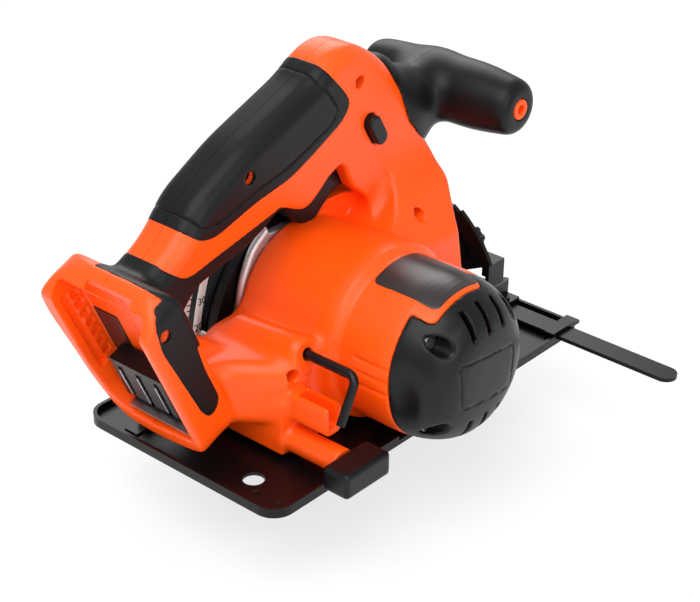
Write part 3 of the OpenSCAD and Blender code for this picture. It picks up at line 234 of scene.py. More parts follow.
def around(radius: float, degrees: float) -> tuple[float, float]:
    """The place (x, z) on a circle about the motor's axis."""
    a = math.radians(degrees)
    return MOTOR_X + radius * math.cos(a), MOTOR_Z + radius * math.sin(a)


def rod(axis: str, u: float, v: float, lo: float, hi: float, radius: float, r: float = 0.0) -> Field:
    """A round bar along an axis at (u, v), its rims rounded by r.

    Args:
        axis: The axis.
        u: First place across it.
        v: Second place across it.
        lo: Where it starts.
        hi: Where it ends.
        radius: Its radius.
        r: Rounding of the rims.

    Returns:
        The bar.
    """
    a, b, c = AXES[axis]
    mid, half = (lo + hi) / 2, (hi - lo) / 2

    def distance(p: np.ndarray) -> np.ndarray:
        """Distance to the bar."""
        return corner(np.hypot(p[:, a] - u, p[:, b] - v) - radius, np.abs(p[:, c] - mid) - half, r)

    return Field(distance)


def lathe(shape: Outline, x: float, z: float) -> Field:
    """An outline in (radius, y) turned about a line along Y."""
    return Field(lambda p: shape(np.hypot(p[:, 0] - x, p[:, 2] - z), p[:, 1]))


def block(lo: Sequence[float], hi: Sequence[float], r: float = 0.0) -> Field:
    """A box between two corners with its edges rounded by r.

    Args:
        lo: Lowest corner.
        hi: Highest corner.
        r: Rounding of the edges.

    Returns:
        The box.
    """
    mid, half = (np.array(lo) + hi) / 2, (np.array(hi) - lo) / 2

    def distance(p: np.ndarray) -> np.ndarray:
        """Distance to the rounded box."""
        q = np.abs(p - mid) - half + r
        return np.minimum(q.max(1), 0) + np.linalg.norm(np.maximum(q, 0), axis=1) - r

    return Field(distance)


def capsule(a: Sequence[float], b: Sequence[float], r0: float, r1: float | None = None) -> Field:
    """A round bar between two points whose radius goes from r0 to r1.

    Args:
        a: Start.
        b: End.
        r0: Radius at the start.
        r1: Radius at the end, the same if left out.

    Returns:
        The bar.
    """
    start, way = np.array(a, float), np.array(b, float) - a
    end_r = r0 if r1 is None else r1

    def distance(p: np.ndarray) -> np.ndarray:
        """Distance to the bar."""
        t = np.clip((p - start) @ way / (way @ way), 0, 1)
        return np.linalg.norm(p - start - t[:, None] * way, axis=1) - (r0 + (end_r - r0) * t)

    return Field(distance)


def beyond(point: Sequence[float], normal: Sequence[float]) -> Field:
    """Everything on the inner side of a plane whose normal points outward."""
    n = np.array(normal, float) / np.linalg.norm(normal)
    return Field(lambda p: (p - np.array(point)) @ n)


def placed(inner: Field, axes: np.ndarray, origin: Sequence[float]) -> Field:
    """A solid drawn in its own axes (the matrix columns) about an origin."""
    return Field(lambda p: inner((p - np.array(origin)) @ axes))


def joined(parts: Iterable[Field]) -> Field:
    """Several solids as one, with plain corners where they meet."""
    return functools.reduce(Field.join, parts)


# ---------------------------------------------------------------- skinning

# Lattice cells to a block's side, and blocks worked out at a time
BLOCK = 8
BATCH = 600
# Keeps lattice points off the flat faces, which lie at round figures
OFF_GRID = 0.0137


def lattice(solid: Field, lo: np.ndarray, n: np.ndarray, cell: float) -> np.ndarray:
    """Distances on a lattice, worked out only near the surface.

    Args:
        solid: The solid.
        lo: Lowest lattice point.
        n: Lattice points along each axis, eight to a block plus one.
        cell: Lattice spacing.

    Returns:
        The distances, with a large value of the right sign away from the surface.
    """
    blocks = (n - 1) // BLOCK
    index = np.stack(np.meshgrid(*[np.arange(b) for b in blocks], indexing="ij"), -1).reshape(-1, 3)
    middle = solid(lo + (index + 0.5) * BLOCK * cell)
    values = np.where(middle < 0, -99.0, 99.0).reshape(blocks)
    for axis in range(3):
        values = np.repeat(values, BLOCK, axis)
    values = np.pad(values, ((0, 1), (0, 1), (0, 1)), mode="edge").astype(np.float32)
    # half a block's diagonal, with some to spare for blends that bend the distance
    near = index[np.abs(middle) < BLOCK / 2 * cell * math.sqrt(3) * 1.15 + 1.0]
    local = np.stack(np.meshgrid(*[np.arange(BLOCK + 1)] * 3, indexing="ij"), -1).reshape(-1, 3)
    for start in range(0, len(near), BATCH):
        at = (near[start:start + BATCH, None, :] * BLOCK + local[None]).reshape(-1, 3)
        values[at[:, 0], at[:, 1], at[:, 2]] = solid(lo + at * cell)
    return values


def cell_size(full: float) -> float:
    return full


def skin(solid: Field, lo: Sequence[float], hi: Sequence[float], cell: float) -> Skin:
    """Closed quad skin of a solid.

    Args:
        solid: The solid.
        lo: Lowest corner of the space searched.
        hi: Highest corner.
        cell: Size of one quad.

    Returns:
        Corner points in millimetres, and quads.
    """
    low = np.array(lo, float) + OFF_GRID
    n = np.ceil((np.array(hi) - low) / cell / BLOCK).astype(int) * BLOCK + 1
    v = lattice(solid, low, n, cell)
    s = v < 0
    offsets = np.array([(i, j, k) for i in (0, 1) for j in (0, 1) for k in (0, 1)])
    count = sum(s[i:n[0] - 1 + i, j:n[1] - 1 + j, k:n[2] - 1 + k].astype(np.int8) for i, j, k in offsets)
    cells = np.argwhere((count > 0) & (count < 8))
    ids = np.full(n - 1, -1)
    ids[tuple(cells.T)] = np.arange(len(cells))
    values = np.stack([v[tuple((cells + o).T)] for o in offsets], 1)
    total, hits = np.zeros((len(cells), 3)), np.zeros(len(cells))
    for a in range(8):
        for b in range(a + 1, 8):
            if np.abs(offsets[a] - offsets[b]).sum() != 1:
                continue
            va, vb = values[:, a], values[:, b]
            cross = (va < 0) != (vb < 0)
            t = np.where(cross, va / np.where(cross, va - vb, 1), 0)[:, None]
            total += np.where(cross[:, None], offsets[a] + t * (offsets[b] - offsets[a]), 0)
            hits += cross
    points = low + (cells + total / hits[:, None]) * cell
    quads = []
    for axis in range(3):
        u, w = (axis + 1) % 3, (axis + 2) % 3
        here = [slice(None)] * 3
        there = [slice(None)] * 3
        here[axis], there[axis] = slice(0, -1), slice(1, None)
        flip = s[tuple(here)] != s[tuple(there)]
        edge = np.argwhere(flip)
        edge = edge[(edge[:, u] > 0) & (edge[:, w] > 0) & (edge[:, u] < n[u] - 1) & (edge[:, w] < n[w] - 1)]
        du, dw = np.eye(3, dtype=int)[u], np.eye(3, dtype=int)[w]
        ring = np.stack([ids[tuple(q.T)] for q in (edge - du - dw, edge - dw, edge, edge - du)], 1)
        outward = s[tuple(edge.T)]
        quads.append(np.where(outward[:, None], ring, ring[:, ::-1]))
    faces = np.concatenate(quads)
    faces = faces[(faces >= 0).all(1)]
    probe = 0.04
    corners = np.array([(1, -1, -1), (-1, -1, 1), (-1, 1, -1), (1, 1, 1)])
    for _ in range(2):
        d = solid(points)
        grad = sum(np.outer(solid(points + probe * k), k) for k in corners) / (4 * probe)
        step = (d / np.maximum((grad ** 2).sum(1), 0.2))[:, None] * grad
        length = np.linalg.norm(step, axis=1, keepdims=True)
        points = points - step * np.minimum(1, cell * 0.45 / np.maximum(length, 1e-9))
    return points, faces


class Side(Enum):
    """Which part of a solid is kept when it is parted at a plane across Y."""

    WHOLE = 0
    RIGHT = -1
    LEFT = 1


def close_cut(bm: bmesh.types.BMesh, edges: Sequence[bmesh.types.BMEdge]) -> None:
    """Fills a flat cut across Y with triangles, leaving its holes open.

    Args:
        bm: The mesh that was cut.
        edges: The open edges round the cut.
    """
    verts = list({v for e in edges for v in e.verts})
    at = {v: i for i, v in enumerate(verts)}
    flat = [Vector((v.co.x, v.co.z)) for v in verts]
    links = [(at[e.verts[0]], at[e.verts[1]]) for e in edges]
    coords, _, faces, origin, _, _ = delaunay_2d_cdt(flat, links, [], 0, 1e-9)
    if not faces:
        return
    spot = np.array([c[:] for c in coords])
    middle = spot[np.array([f[:3] for f in faces])].mean(1)
    a = np.array([flat[i][:] for i, _ in links])
    b = np.array([flat[j][:] for _, j in links])
    odd = np.zeros(len(middle), bool)
    for (ax, ay), (bx, by) in zip(a, b):
        if ay != by:
            hit = (bx - ax) * (middle[:, 1] - ay) / (by - ay) + ax
            odd ^= ((ay > middle[:, 1]) != (by > middle[:, 1])) & (middle[:, 0] < hit)
    level = verts[0].co.y
    made = [verts[o[0]] if o else bm.verts.new((c[0], level, c[1])) for o, c in zip(origin, coords)]
    for keep, face in zip(odd, faces):
        corners = [made[i] for i in face]
        if keep and len(set(corners)) == 3 and not bm.faces.get(corners):
            bm.faces.new(corners).smooth = False


def part_mesh(mesh: bpy.types.Mesh, side: Side, slit: float) -> None:
    """Keeps one side of the seam plane and closes the cut.

    Args:
        mesh: The mesh, in metres.
        side: The side kept.
        slit: Half the gap left at the parting line, in millimetres.
    """
    if side is Side.WHOLE:
        return
    bm = bmesh.new()
    bm.from_mesh(mesh)
    everything = bm.verts[:] + bm.edges[:] + bm.faces[:]
    point = (0, (SEAM_Y + side.value * slit) * MM, 0)
    cut = bmesh.ops.bisect_plane(
        bm, geom=everything, dist=1e-7, plane_co=point, plane_no=(0, -side.value, 0), clear_outer=True)
    rim = [v for v in cut["geom_cut"] if isinstance(v, bmesh.types.BMVert) and v.is_valid]
    bmesh.ops.remove_doubles(bm, verts=rim, dist=1e-6)
    close_cut(bm, [e for e in bm.edges if e.is_boundary])
    bmesh.ops.recalc_face_normals(bm, faces=bm.faces[:])
    bm.to_mesh(mesh)
    bm.free()


# ---------------------------------------------------------------- finishes

def linear(rgb: str) -> tuple[float, float, float, float]:
    """Linear colour of a hex sRGB colour."""
    parts = [int(rgb[i:i + 2], 16) / 255 for i in (0, 2, 4)]
    return (*[c / 12.92 if c <= 0.04045 else ((c + 0.055) / 1.055) ** 2.4 for c in parts], 1.0)


@dataclass(frozen=True)
class Finish:
    """How a surface looks: colour, shine and the grain of its moulding or paint."""

    name: str
    colour: str
    roughness: float
    metallic: float = 0.0
    grain_mm: float = 0.6
    grain_depth: float = 0.02
    variation: float = 0.03
    coat: float = 0.0
    brushed: tuple[float, float, float] = (1.0, 1.0, 1.0)
    shine: float = 0.5


# Semi-gloss orange ABS: saturated, with a soft broad highlight and a faint moulding grain
ORANGE_ABS = Finish("orange_abs", "FF5408", 0.34, grain_mm=0.9, grain_depth=0.012, shine=0.32)
# Black ABS of the motor cap: a little shinier than the rubber, fine spark texture
BLACK_ABS = Finish("black_abs", "0F1012", 0.34, grain_mm=0.5, grain_depth=0.03, shine=0.24)
# Soft-touch rubber: dull, slightly lighter where light grazes it
SOFT_RUBBER = Finish("soft_black_rubber", "0E0F12", 0.4, grain_mm=0.35, grain_depth=0.035, shine=0.22)
# Powder-coated sheet: near black with a tight orange-peel sheen
BLACK_SHEET = Finish("black_painted_steel", "060608", 0.36, grain_mm=1.4, grain_depth=0.02, shine=0.24)
# White painted scale: flat and even
WHITE_SCALE = Finish("white_painted_steel", "E6E6E2", 0.5, grain_depth=0.004)
# Cast and tumbled aluminium: pale, with a soft mottled shine
CAST_ALUMINIUM = Finish("cast_aluminium", "DCD8D8", 0.5, metallic=0.85, grain_mm=1.8,
    grain_depth=0.04, variation=0.08)
# Turned and ground steel: fine lines along the lathe feed
BRIGHT_STEEL = Finish("bright_steel", "BDBEC0", 0.28, metallic=1.0, brushed=(1.0, 12.0, 1.0),
    grain_mm=0.8, variation=0.06)
# Oiled black steel of the hex key
OILED_STEEL = Finish("blackened_steel", "1B1B1D", 0.3, metallic=0.6, grain_mm=0.8)
# Zinc-plated steel of the motor: grey with an even shine
MOTOR_STEEL = Finish("motor_steel", "8E9094", 0.35, metallic=1.0)
# Sintered bronze bush: dull gold
BRONZE = Finish("bronze", "B08A4E", 0.4, metallic=1.0)
# Copper bars and lacquered windings: warm and shiny
COPPER = Finish("copper", "B4683C", 0.35, metallic=1.0)
# Pressed carbon: dull dark grey
CARBON = Finish("carbon", "1C1C1C", 0.7)
# Bare rating plate: printed foil under a clear coat, very dark and even
DARK_PLATE = Finish("dark_plate", "241A1A", 0.32, grain_depth=0.004, coat=0.2)
# Black print on the scale: flat, without a grain
SCALE_PRINT = Finish("scale_print", "151515", 0.5, grain_depth=0.0)


def put(tree: bpy.types.NodeTree, kind: str, links: dict[str | int, Any] | None = None,
        **settings: Any) -> bpy.types.Node:
    """Adds a node, sets it up and links its inputs.

    Args:
        tree: The node tree.
        kind: Node type.
        links: Input name or index to an output socket or a constant.
        settings: Properties of the node.

    Returns:
        The node.
    """
    node = tree.nodes.new(kind)
    for key, value in settings.items():
        setattr(node, key, value)
    for key, value in (links or {}).items():
        if isinstance(value, bpy.types.NodeSocket):
            tree.links.new(value, node.inputs[key])
        else:
            node.inputs[key].default_value = value
    return node


def material(finish: Finish) -> bpy.types.Material:
    """The node material of a finish, made once.

    Args:
        finish: The finish.

    Returns:
        The material.
    """
    name = "finish_" + finish.name
    if name in bpy.data.materials:
        return bpy.data.materials[name]
    mat = bpy.data.materials.new(name)
    mat.use_nodes = True
    tree = mat.node_tree
    tree.nodes.clear()
    place = put(tree, "ShaderNodeTexCoord").outputs["Object"]
    stretch = put(tree, "ShaderNodeMapping", {"Vector": place, "Scale": finish.brushed}).outputs[0]
    grain = put(tree, "ShaderNodeTexNoise", {
        "Vector": stretch, "Scale": 1 / (finish.grain_mm * MM), "Detail": 3.0, "Roughness": 0.55}).outputs[0]
    patches = put(tree, "ShaderNodeTexNoise", {"Vector": place, "Scale": 22.0, "Detail": 2.0}).outputs[0]
    base = linear(finish.colour)
    low = tuple(c * (1 - finish.variation) for c in base[:3]) + (1.0,)
    high = tuple(min(c * (1 + finish.variation), 1.0) for c in base[:3]) + (1.0,)
    tint = put(tree, "ShaderNodeMix", {0: patches, 6: low, 7: high}, data_type="RGBA").outputs[2]
    rough = put(tree, "ShaderNodeMapRange", {
        0: grain, 3: finish.roughness * 0.88, 4: finish.roughness * 1.12}).outputs[0]
    bump = put(tree, "ShaderNodeBump", {
        "Height": grain, "Strength": 0.5, "Distance": finish.grain_depth * MM}).outputs[0]
    shader = put(tree, "ShaderNodeBsdfPrincipled", {
        "Base Color": tint, "Roughness": rough, "Metallic": finish.metallic, "Normal": bump,
        "Coat Weight": finish.coat, "Coat Roughness": 0.25, "Specular IOR Level": finish.shine})
    put(tree, "ShaderNodeOutputMaterial", {"Surface": shader.outputs[0]})
    return mat


# Finishes that the CAD's material slots name
SLOT_FINISH = {f.name: f for f in (
    ORANGE_ABS, BLACK_ABS, SOFT_RUBBER, BLACK_SHEET, WHITE_SCALE, CAST_ALUMINIUM,
    BRIGHT_STEEL, OILED_STEEL, MOTOR_STEEL, BRONZE, COPPER, CARBON)}


def dress(obj: bpy.types.Object, finish: Finish, body: str, stands_for: Sequence[str] = ()) -> None:
    """Puts a new piece in the scene with its finish and its body.

    Args:
        obj: The piece.
        finish: Its finish.
        body: The CAD body it moves with.
        stands_for: CAD nodes it stands for.
    """
    bpy.context.scene.collection.objects.link(obj)
    obj.data.materials.append(material(finish))
    if stands_for:
        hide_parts(*stands_for)
    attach(obj, body)
    LOG.info("piece %s: %d faces", obj.name, len(obj.data.polygons))


def make_piece(name: str, shape: Skin, finish: Finish, body: str, stands_for: Sequence[str] = (),
               side: Side = Side.WHOLE, slit: float = HARD_SLIT) -> None:
    """Makes a finished piece from a skin.

    Args:
        name: Name of the piece.
        shape: The skin, in millimetres.
        finish: Its finish.
        body: The CAD body it moves with.
        stands_for: CAD nodes it stands for.
        side: Which side of the seam is kept.
        slit: Half the gap left at the seam.
    """
    points, quads = shape
    mesh = bpy.data.meshes.new(name)
    mesh.vertices.add(len(points))
    mesh.vertices.foreach_set("co", (points * MM).astype(np.float32).ravel())
    mesh.loops.add(quads.size)
    mesh.loops.foreach_set("vertex_index", quads.ravel().astype(np.int32))
    mesh.polygons.add(len(quads))
    mesh.polygons.foreach_set("loop_start", np.arange(0, quads.size, quads.shape[1], dtype=np.int32))
    mesh.update(calc_edges=True)
    mesh.validate()
    mesh.polygons.foreach_set("use_smooth", [True] * len(mesh.polygons))
    part_mesh(mesh, side, slit)
    mesh.set_sharp_from_angle(angle=SHARP_ANGLE)
    dress(bpy.data.objects.new(name, mesh), finish, body, stands_for)


def make_halves(stem: str, shape: Skin, finish: Finish, right: Sequence[str], left: Sequence[str],
                slit: float = HARD_SLIT) -> None:
    """Makes the two halves of a moulding that is parted along the seam.

    Args:
        stem: Name of the pair, before _right and _left.
        shape: The skin of both halves together.
        finish: Their finish.
        right: CAD nodes the right half stands for.
        left: CAD nodes the left half stands for.
        slit: Half the gap left at the seam.
    """
    make_piece(stem + "_right", shape, finish, "saw_body", right, Side.RIGHT, slit)
    make_piece(stem + "_left", shape, finish, "saw_body", left, Side.LEFT, slit)


# ---------------------------------------------------------------- housing

@dataclass
class FootFrame:
    """Axes of the battery foot: into the foot, across, and up its slide."""

    lean: float = 24.0
    origin: tuple[float, float, float] = (-123.3, SEAM_Y, 14.8)

    def place(self, inner: Field) -> Field:
        """A solid drawn in the foot's own axes, put on the saw.

        Args:
            inner: The solid in the foot's axes.

        Returns:
            The solid on the saw.
        """
        a = math.radians(self.lean)
        axes = np.array([[math.cos(a), 0, -math.sin(a)], [0, 1, 0], [math.sin(a), 0, math.cos(a)]])
        return placed(inner, axes, self.origin)


@dataclass
class Housing:
    """The orange clamshell: handle, head, flank, motor barrel, rear body and battery foot."""

    foot: FootFrame = field(default_factory=FootFrame)
    wall: float = 2.6
    skin_depth: float = 2.0
    proud: float = 0.25
    tongue_middle: float = 99.0
    tongue_half: float = 28.5
    rib_angles: tuple[float, ...] = (168.0, 177.0, 186.0)
    screws: tuple[tuple[float, float], ...] = ((17.4, 167.4), (46.0, 86.6), (-65.5, 141.0), (-80.0, 49.5))
    screw_seat: float = 8.0
    blind_hole: tuple[float, float] = (-146.1, 93.1)
    loop: Outline = field(init=False)
    hand_hole: Outline = field(init=False)
    grip_shape: Outline = field(init=False)
    lining_shape: Outline = field(init=False)
    frame: Field = field(init=False)

    def __post_init__(self) -> None:
        """Draws the side views that several parts share: handle loop, hand hole, grip and lining."""
        self.loop = Outline([(-8, 182.5), (3, 187.5), (14, 188.5), (27, 183), (43, 171), (59, 149),
            (70, 131), (77, 115), (82.5, 95), (80, 82), (69, 74), (62, 60), (0, 60), (-90, 26), (-100, 20),
            (-112, 24), (-124, 60), (-142, 92), (-146, 103), (-137, 107.5), (-126, 112.5), (-115.5, 119.5),
            (-107, 128.5), (-99, 138), (-67, 156), (-17, 176)], 9)
        self.hand_hole = Outline([(26.4, 10), (27, 74.9), (28.4, 89.6), (24.8, 98.1), (18.1, 104.1),
            (12.4, 109.1), (9, 116.1), (5.7, 123.6), (2.5, 125), (-6.1, 121.3), (-12.4, 116), (-19.4, 111),
            (-25.5, 109.1), (-32.4, 111.6), (-38.8, 115), (-45.6, 115.6), (-50.8, 112.8), (-56.8, 108.8),
            (-65.6, 105.3), (-80.2, 101.2), (-90.9, 98.6), (-101.4, 96), (-106.5, 93), (-111.5, 88),
            (-116.4, 81.3), (-116, 76.7), (-110, 69), (-98, 62), (-92, 50), (-88, 10)], 2.5)
        handle = prism("y", self.loop, SEAM_Y - HANDLE_HALF, SEAM_Y + HANDLE_HALF, 10)
        self.frame = handle.cut(prism("y", self.hand_hole, -60, 60), 2.2)
        self.grip_shape = Outline([(-14, 198), (-6, 178), (6, 165), (10, 158), (4, 150), (-20, 138),
            (-36, 131), (-62, 126), (-90, 117.5), (-100, 118.5), (-108, 124), (-122, 138),
            (-116, 160), (-60, 190)], 6)
        self.lining_shape = Outline([(-146.4, 114.6), (-148.3, 108.4), (-152.0, 99.0), (-149.0, 85.5),
            (-124.8, 40.6), (-119.3, 35.2), (-114.0, 38.2), (-112.4, 44.5), (-121.3, 64), (-126.5, 79.5),
            (-119, 77), (-111, 71.5), (-104, 70), (-96, 76), (-60, 98), (-34, 104), (-38, 113), (-43, 117.8),
            (-48.1, 116.2), (-59.2, 113.7), (-73.7, 110.4), (-91.6, 106.5), (-105.5, 103.1), (-112.4, 103),
            (-117.6, 106.2), (-125, 112), (-127.5, 126), (-146, 126)], 3)

    def barrel(self) -> Field:
        """The motor barrel with its flared lip and rounded gear end.

        Returns:
            The barrel.
        """
        lip = Outline([(-5, 26), (-5, -90), (BARREL_R, -90, 0), (BARREL_R, -46.5, 1.5), (48.6, -43.5, 1.2),
            (49.2, -36, 6), (47.0, -20, 8), (45.6, 10), (45.6, 22.3, 2.5), (30, 22.3)], 3)
        return lathe(lip, MOTOR_X, MOTOR_Z)

    def dome(self, shrink: float = 0.0) -> Field:
        """The rounded end of the motor, shared by cap and tongue.

        Args:
            shrink: How far inside the real surface.

        Returns:
            The rounded end.
        """
        turn = np.radians(np.linspace(0, 88, 16))
        bulge, deep = 0.46, DOME_END - DOME_START
        arc = [(BARREL_R * math.cos(t) ** bulge, DOME_START + deep * math.sin(t)) for t in turn[::-1]]
        shape = [(-20, 60), (-20, DOME_END), *arc, (BARREL_R, 60)]
        return lathe(Outline(shape, 0, margin=20), MOTOR_X, MOTOR_Z).grow(-shrink)

    def tongue_cutter(self, grow: float) -> Field:
        """The sector over the top of the motor that stays orange.

        Args:
            grow: Room added all round.

        Returns:
            The sector.
        """
        def distance(p: np.ndarray) -> np.ndarray:
            """Distance to a wedge of angles ahead of the step line.

            Args:
                p: The places asked about.

            Returns:
                Signed distances.
            """
            a = np.degrees(np.arctan2(p[:, 2] - MOTOR_Z, p[:, 0] - MOTOR_X))
            r = np.maximum(np.hypot(p[:, 0] - MOTOR_X, p[:, 2] - MOTOR_Z), 8.0)
            side = (np.abs(a - self.tongue_middle) - self.tongue_half) * np.pi / 180 * r
            return corner(side, -(p[:, 1] + 92.5), 4.0) - grow
        return Field(distance)

    def flank(self) -> Field:
        """The side that sweeps from the head out and down on to the motor barrel.

        Returns:
            The flank.
        """
        shape = Outline([(-22, 68), (-16, 76.8), (-2, 79.4), (14, 81.7), (24, 85.8), (31, 91), (36, 97),
            (41.4, 108.8), (38.5, 118.5), (34, 128), (44, 132), (62, 126), (76, 112), (80, 96), (74, 84),
            (69, 73), (71.5, 60), (74, 46), (77, 34), (68, 21), (30, 8), (0, 10), (-10, 40)], 4)
        slab = prism("y", shape, -26, 22.2, 3)
        # leans in from the barrel's top to the handle's side
        slope = beyond((0, 3.6, 112), (0, -0.80, 0.60))
        return slab.meet(slope, 3)

    def rear(self) -> Field:
        """Bridge from the foot, the wall over the base, the clamp tube and the key clip.

        Returns:
            All of it as one solid.
        """
        plan = Outline([(-116, -12), (-103, -14), (-94, -27), (-85, -35.5), (-76, WALL_Y), (-48, WALL_Y),
            (-48, 22), (-92, 22), (-96, 38), (-116, 44)], 9)
        bridge = prism("z", plan, 19.5, 56, 9)
        wedge = block((-88, WALL_Y, 4.6), (-44, 22, 36), 1.8)
        upper = prism("y", Outline([(-84, 20), (-30, 20), (-30, 58), (-60, 57), (-80, 55.5), (-86, 48)],
            5), WALL_Y, 22.2, 2.5)
        crown = capsule((-70, WALL_Y + 5, 57.5), (-70, 8, 55.0), 9.0, 8.0)
        upper = upper.join(crown.meet(beyond((0, WALL_Y, 0), (0, -1, 0)), 1.0), 6)
        # the sleeve that guides the depth bolt out to its lever, and the spring clip for the hex key
        tube = rod("y", TUBE_X, TUBE_Z, -71.4, WALL_Y + 4, 7.2, 1.0)
        clip = Outline([(-84.5, 27.6), (-82, 25.6), (-75, 25.6), (-72.5, 27.6),
            (-72.5, 42), (-84.5, 42)], 2.5)
        channel = Outline([(-82, 29), (-75, 29), (-75, 50), (-82, 50)], 2.5)
        holder = prism("y", clip, -64, WALL_Y + 4, 0.8).cut(prism("y", channel, -70, WALL_Y - 6), 0.8)
        return bridge.join(wedge, 3).join(upper, 5).join(tube, 3).join(holder, 2)

    def foot_solid(self) -> Field:
        """The battery foot outside.

        Returns:
            The foot.
        """
        side = Outline([(0, -9), (0, 86.5, 3), (18, 100.3, 4), (27, 94, 8), (25, 6, 12), (17, -6)], 3)
        front = Outline([(-38, -1, 7), (-22, -6), (0, -8.4), (20, -6.5), (30, 3), (36.5, 24), (38.5, 44),
            (43, 70), (41.2, 86.5, 8), (33, 94.5), (17, 98.8), (0, 100.3), (-17, 99.4),
            (-32, 96.6), (-38, 90, 9)], 8)
        a = Field(lambda p: side(p[:, 0], p[:, 2]))
        b = Field(lambda p: front(p[:, 1], p[:, 2]))
        return self.foot.place(a.meet(b, 3.0))

    def foot_room(self) -> Field:
        """The space the battery slides into, with its rail grooves and end slot.

        Returns:
            The space.
        """
        opening = Outline([(-32, 6.5, 3), (0, 2.2), (17, 4.5), (26, 14), (31, 34), (32, 80),
            (31, 92.5, 3), (-31.5, 92.5, 3)], 3)
        room = Field(lambda p: corner(opening(p[:, 1], p[:, 2]), np.abs(p[:, 0] - 4) - 14, 1.2))
        grooves = block((5, -34.2, 28), (9.5, 33.2, 80), 0.5)
        slot = block((9, -20, 86), (13, 12, 97), 0.5)
        # a row of catches down one side
        strip, step, gap = block((10.5, 28, 28), (15, 33.0, 78), 0.3), 7.0, 2.0
        notches = Field(lambda p: np.maximum(strip(p), np.abs(np.mod(p[:, 2] + 40, step) - step / 2) - gap))
        return self.foot.place(room.join(grooves).join(slot).join(notches))

    def ribs(self) -> Field:
        """Three low ribs at the back of the barrel end.

        Returns:
            The ribs as round bars, to be cut out as grooves.
        """
        bars = []
        for angle in self.rib_angles:
            x, z = around(BARREL_R + 0.1, angle)
            bars.append(capsule((x, DOME_MEET, z), (x, BARREL_END, z), 1.1))
        return joined(bars)

    def solid(self) -> Field:
        """Everything orange as one closed shape, before it is hollowed.

        Returns:
            The shape.
        """
        dome, barrel = self.dome(-0.05), self.barrel()
        shell = Field(lambda p: np.where(p[:, 1] < DOME_MEET, np.maximum(barrel(p), dome(p)), barrel(p)))
        body = shell.meet(beyond((0, BARREL_END, 0), (0, -1, 0)), 0.6)
        tongue = self.dome().meet(self.tongue_cutter(0.0)).meet(beyond((0, -60, 0), (0, 1, 0)))
        web = Outline([(-14, 60), (-14, 90.4), (-5.5, 91.4), (0.5, 97), (6.4, 99.6),
            (34, 99.6), (36, 60)], 1.5)
        body = body.join(self.flank(), 5).join(self.rear(), 9).join(prism("y", web, 17, 22.2, 0.8), 2)
        body = body.join(self.frame, 8).join(self.foot_solid(), 6)
        high_or_rear = Field(lambda p: np.minimum(78 - p[:, 2], 90 + p[:, 0]))
        body = body.meet(beyond((0, GEAR_FACE_Y, 0), (0, 1, 0)).join(high_or_rear), 1.0)
        under = beyond((0, 0, 4.2), (0, 0, 1)).meet(beyond((0, -71, 0), (0, -1, 0)))
        return body.join(tongue, 0.8).cut(under, 1.0).cut(self.ribs(), 0.6)

    def hollows(self) -> Field:
        """Room for the motor, gears, switch, trigger, battery and screws.

        Returns:
            The space to be cut out.
        """
        motor, spindle = (MOTOR_X, MOTOR_Z), (SPINDLE_X, SPINDLE_Z)
        handle = Outline([(-2, 168), (9, 171), (11, 150), (8, 128), (-34, 126), (-56, 119), (-96, 109),
            (-106, 103), (-114, 98), (-119, 99), (-124, 104), (-112, 113), (-95, 126),
            (-60, 146), (-20, 163)], 4)
        switch = Outline([(-36, 100), (23, 100), (23, 126), (-36, 126)], 1)
        gears = rod("y", *spindle, GEAR_FACE_Y, 29, 75).meet(rod("y", 45, 27, GEAR_FACE_Y, 29, 104.6))
        return joined([
            # the motor's can, its shaft and the bearing at the gear end
            self.dome(self.wall).meet(beyond((0, -7, 0), (0, 1, 0))),
            rod("y", *motor, -12, 40, 8.5),
            rod("y", *motor, -12, 2.6, 11),
            # the gear wheel and the two ends of the spindle
            rod("y", *spindle, 6, 40, 22.3),
            rod("y", *spindle, -1, 7, 8),
            # the blade guard and the gear case behind it
            rod("y", *spindle, 27.5, 90, 75.4),
            gears.meet(beyond((0, 0, 91.5), (0, 0, 1))),
            # the battery, the inside of the handle, the switch and its button
            self.foot_room(),
            prism("y", handle, 9, 32, 3),
            prism("y", switch, 12.7, 28.3, 0.4),
            self.lock_off_shape(0.45, -5, 37),
            # the depth bolt, the hex key and the spindle lock with its head
            rod("y", TUBE_X, TUBE_Z, -80, 60, 3.2),
            rod("y", KEY_X, KEY_Z, -45, 2, 3.3),
            rod("x", LOCK_PIN_Y, SPINDLE_Z, 10, 65, 1.8),
            rod("x", LOCK_PIN_Y, SPINDLE_Z, 64, 100, 5.4),
        ])

    def lock_off_shape(self, grow: float, y0: float, y1: float) -> Field:
        """The oblong of the lock-off button.

        Args:
            grow: Room added all round.
            y0: Its right end.
            y1: Its left end.

        Returns:
            The oblong bar.
        """
        a = math.radians(LOCK_OFF_TURN)
        along, across = np.array([math.cos(a), math.sin(a)]), np.array([-math.sin(a), math.cos(a)])
        centre = np.array([LOCK_OFF_X, LOCK_OFF_Z])
        half, radius = 5.4, 4.4 + grow
        ends = [rod("y", *(centre + way * half * along), y0, y1, radius, 1.0) for way in (-1, 1)]

        def middle(p: np.ndarray) -> np.ndarray:
            """Distance to the straight part of the oblong.

            Args:
                p: The places asked about.

            Returns:
                Signed distances.
            """
            q = p[:, [0, 2]] - centre
            d = np.maximum(np.abs(q @ along) - half, np.abs(q @ across) - radius)
            return corner(d, np.abs(p[:, 1] - (y0 + y1) / 2) - (y1 - y0) / 2, 1.0)

        return joined([*ends, Field(middle)])

    def screw_holes(self) -> Field:
        """Recesses over the housing screws on the right, and the blind one beside the foot.

        Returns:
            The recesses.
        """
        holes = []
        for x, z in self.screws:
            holes.append(rod("y", x, z, -60, self.screw_seat + 3.6, 3.5))
            holes.append(rod("y", x, z, self.screw_seat, self.screw_seat + 20, 1.7))
        return joined([*holes, rod("y", *self.blind_hole, -60, -14.2, 3.4)])

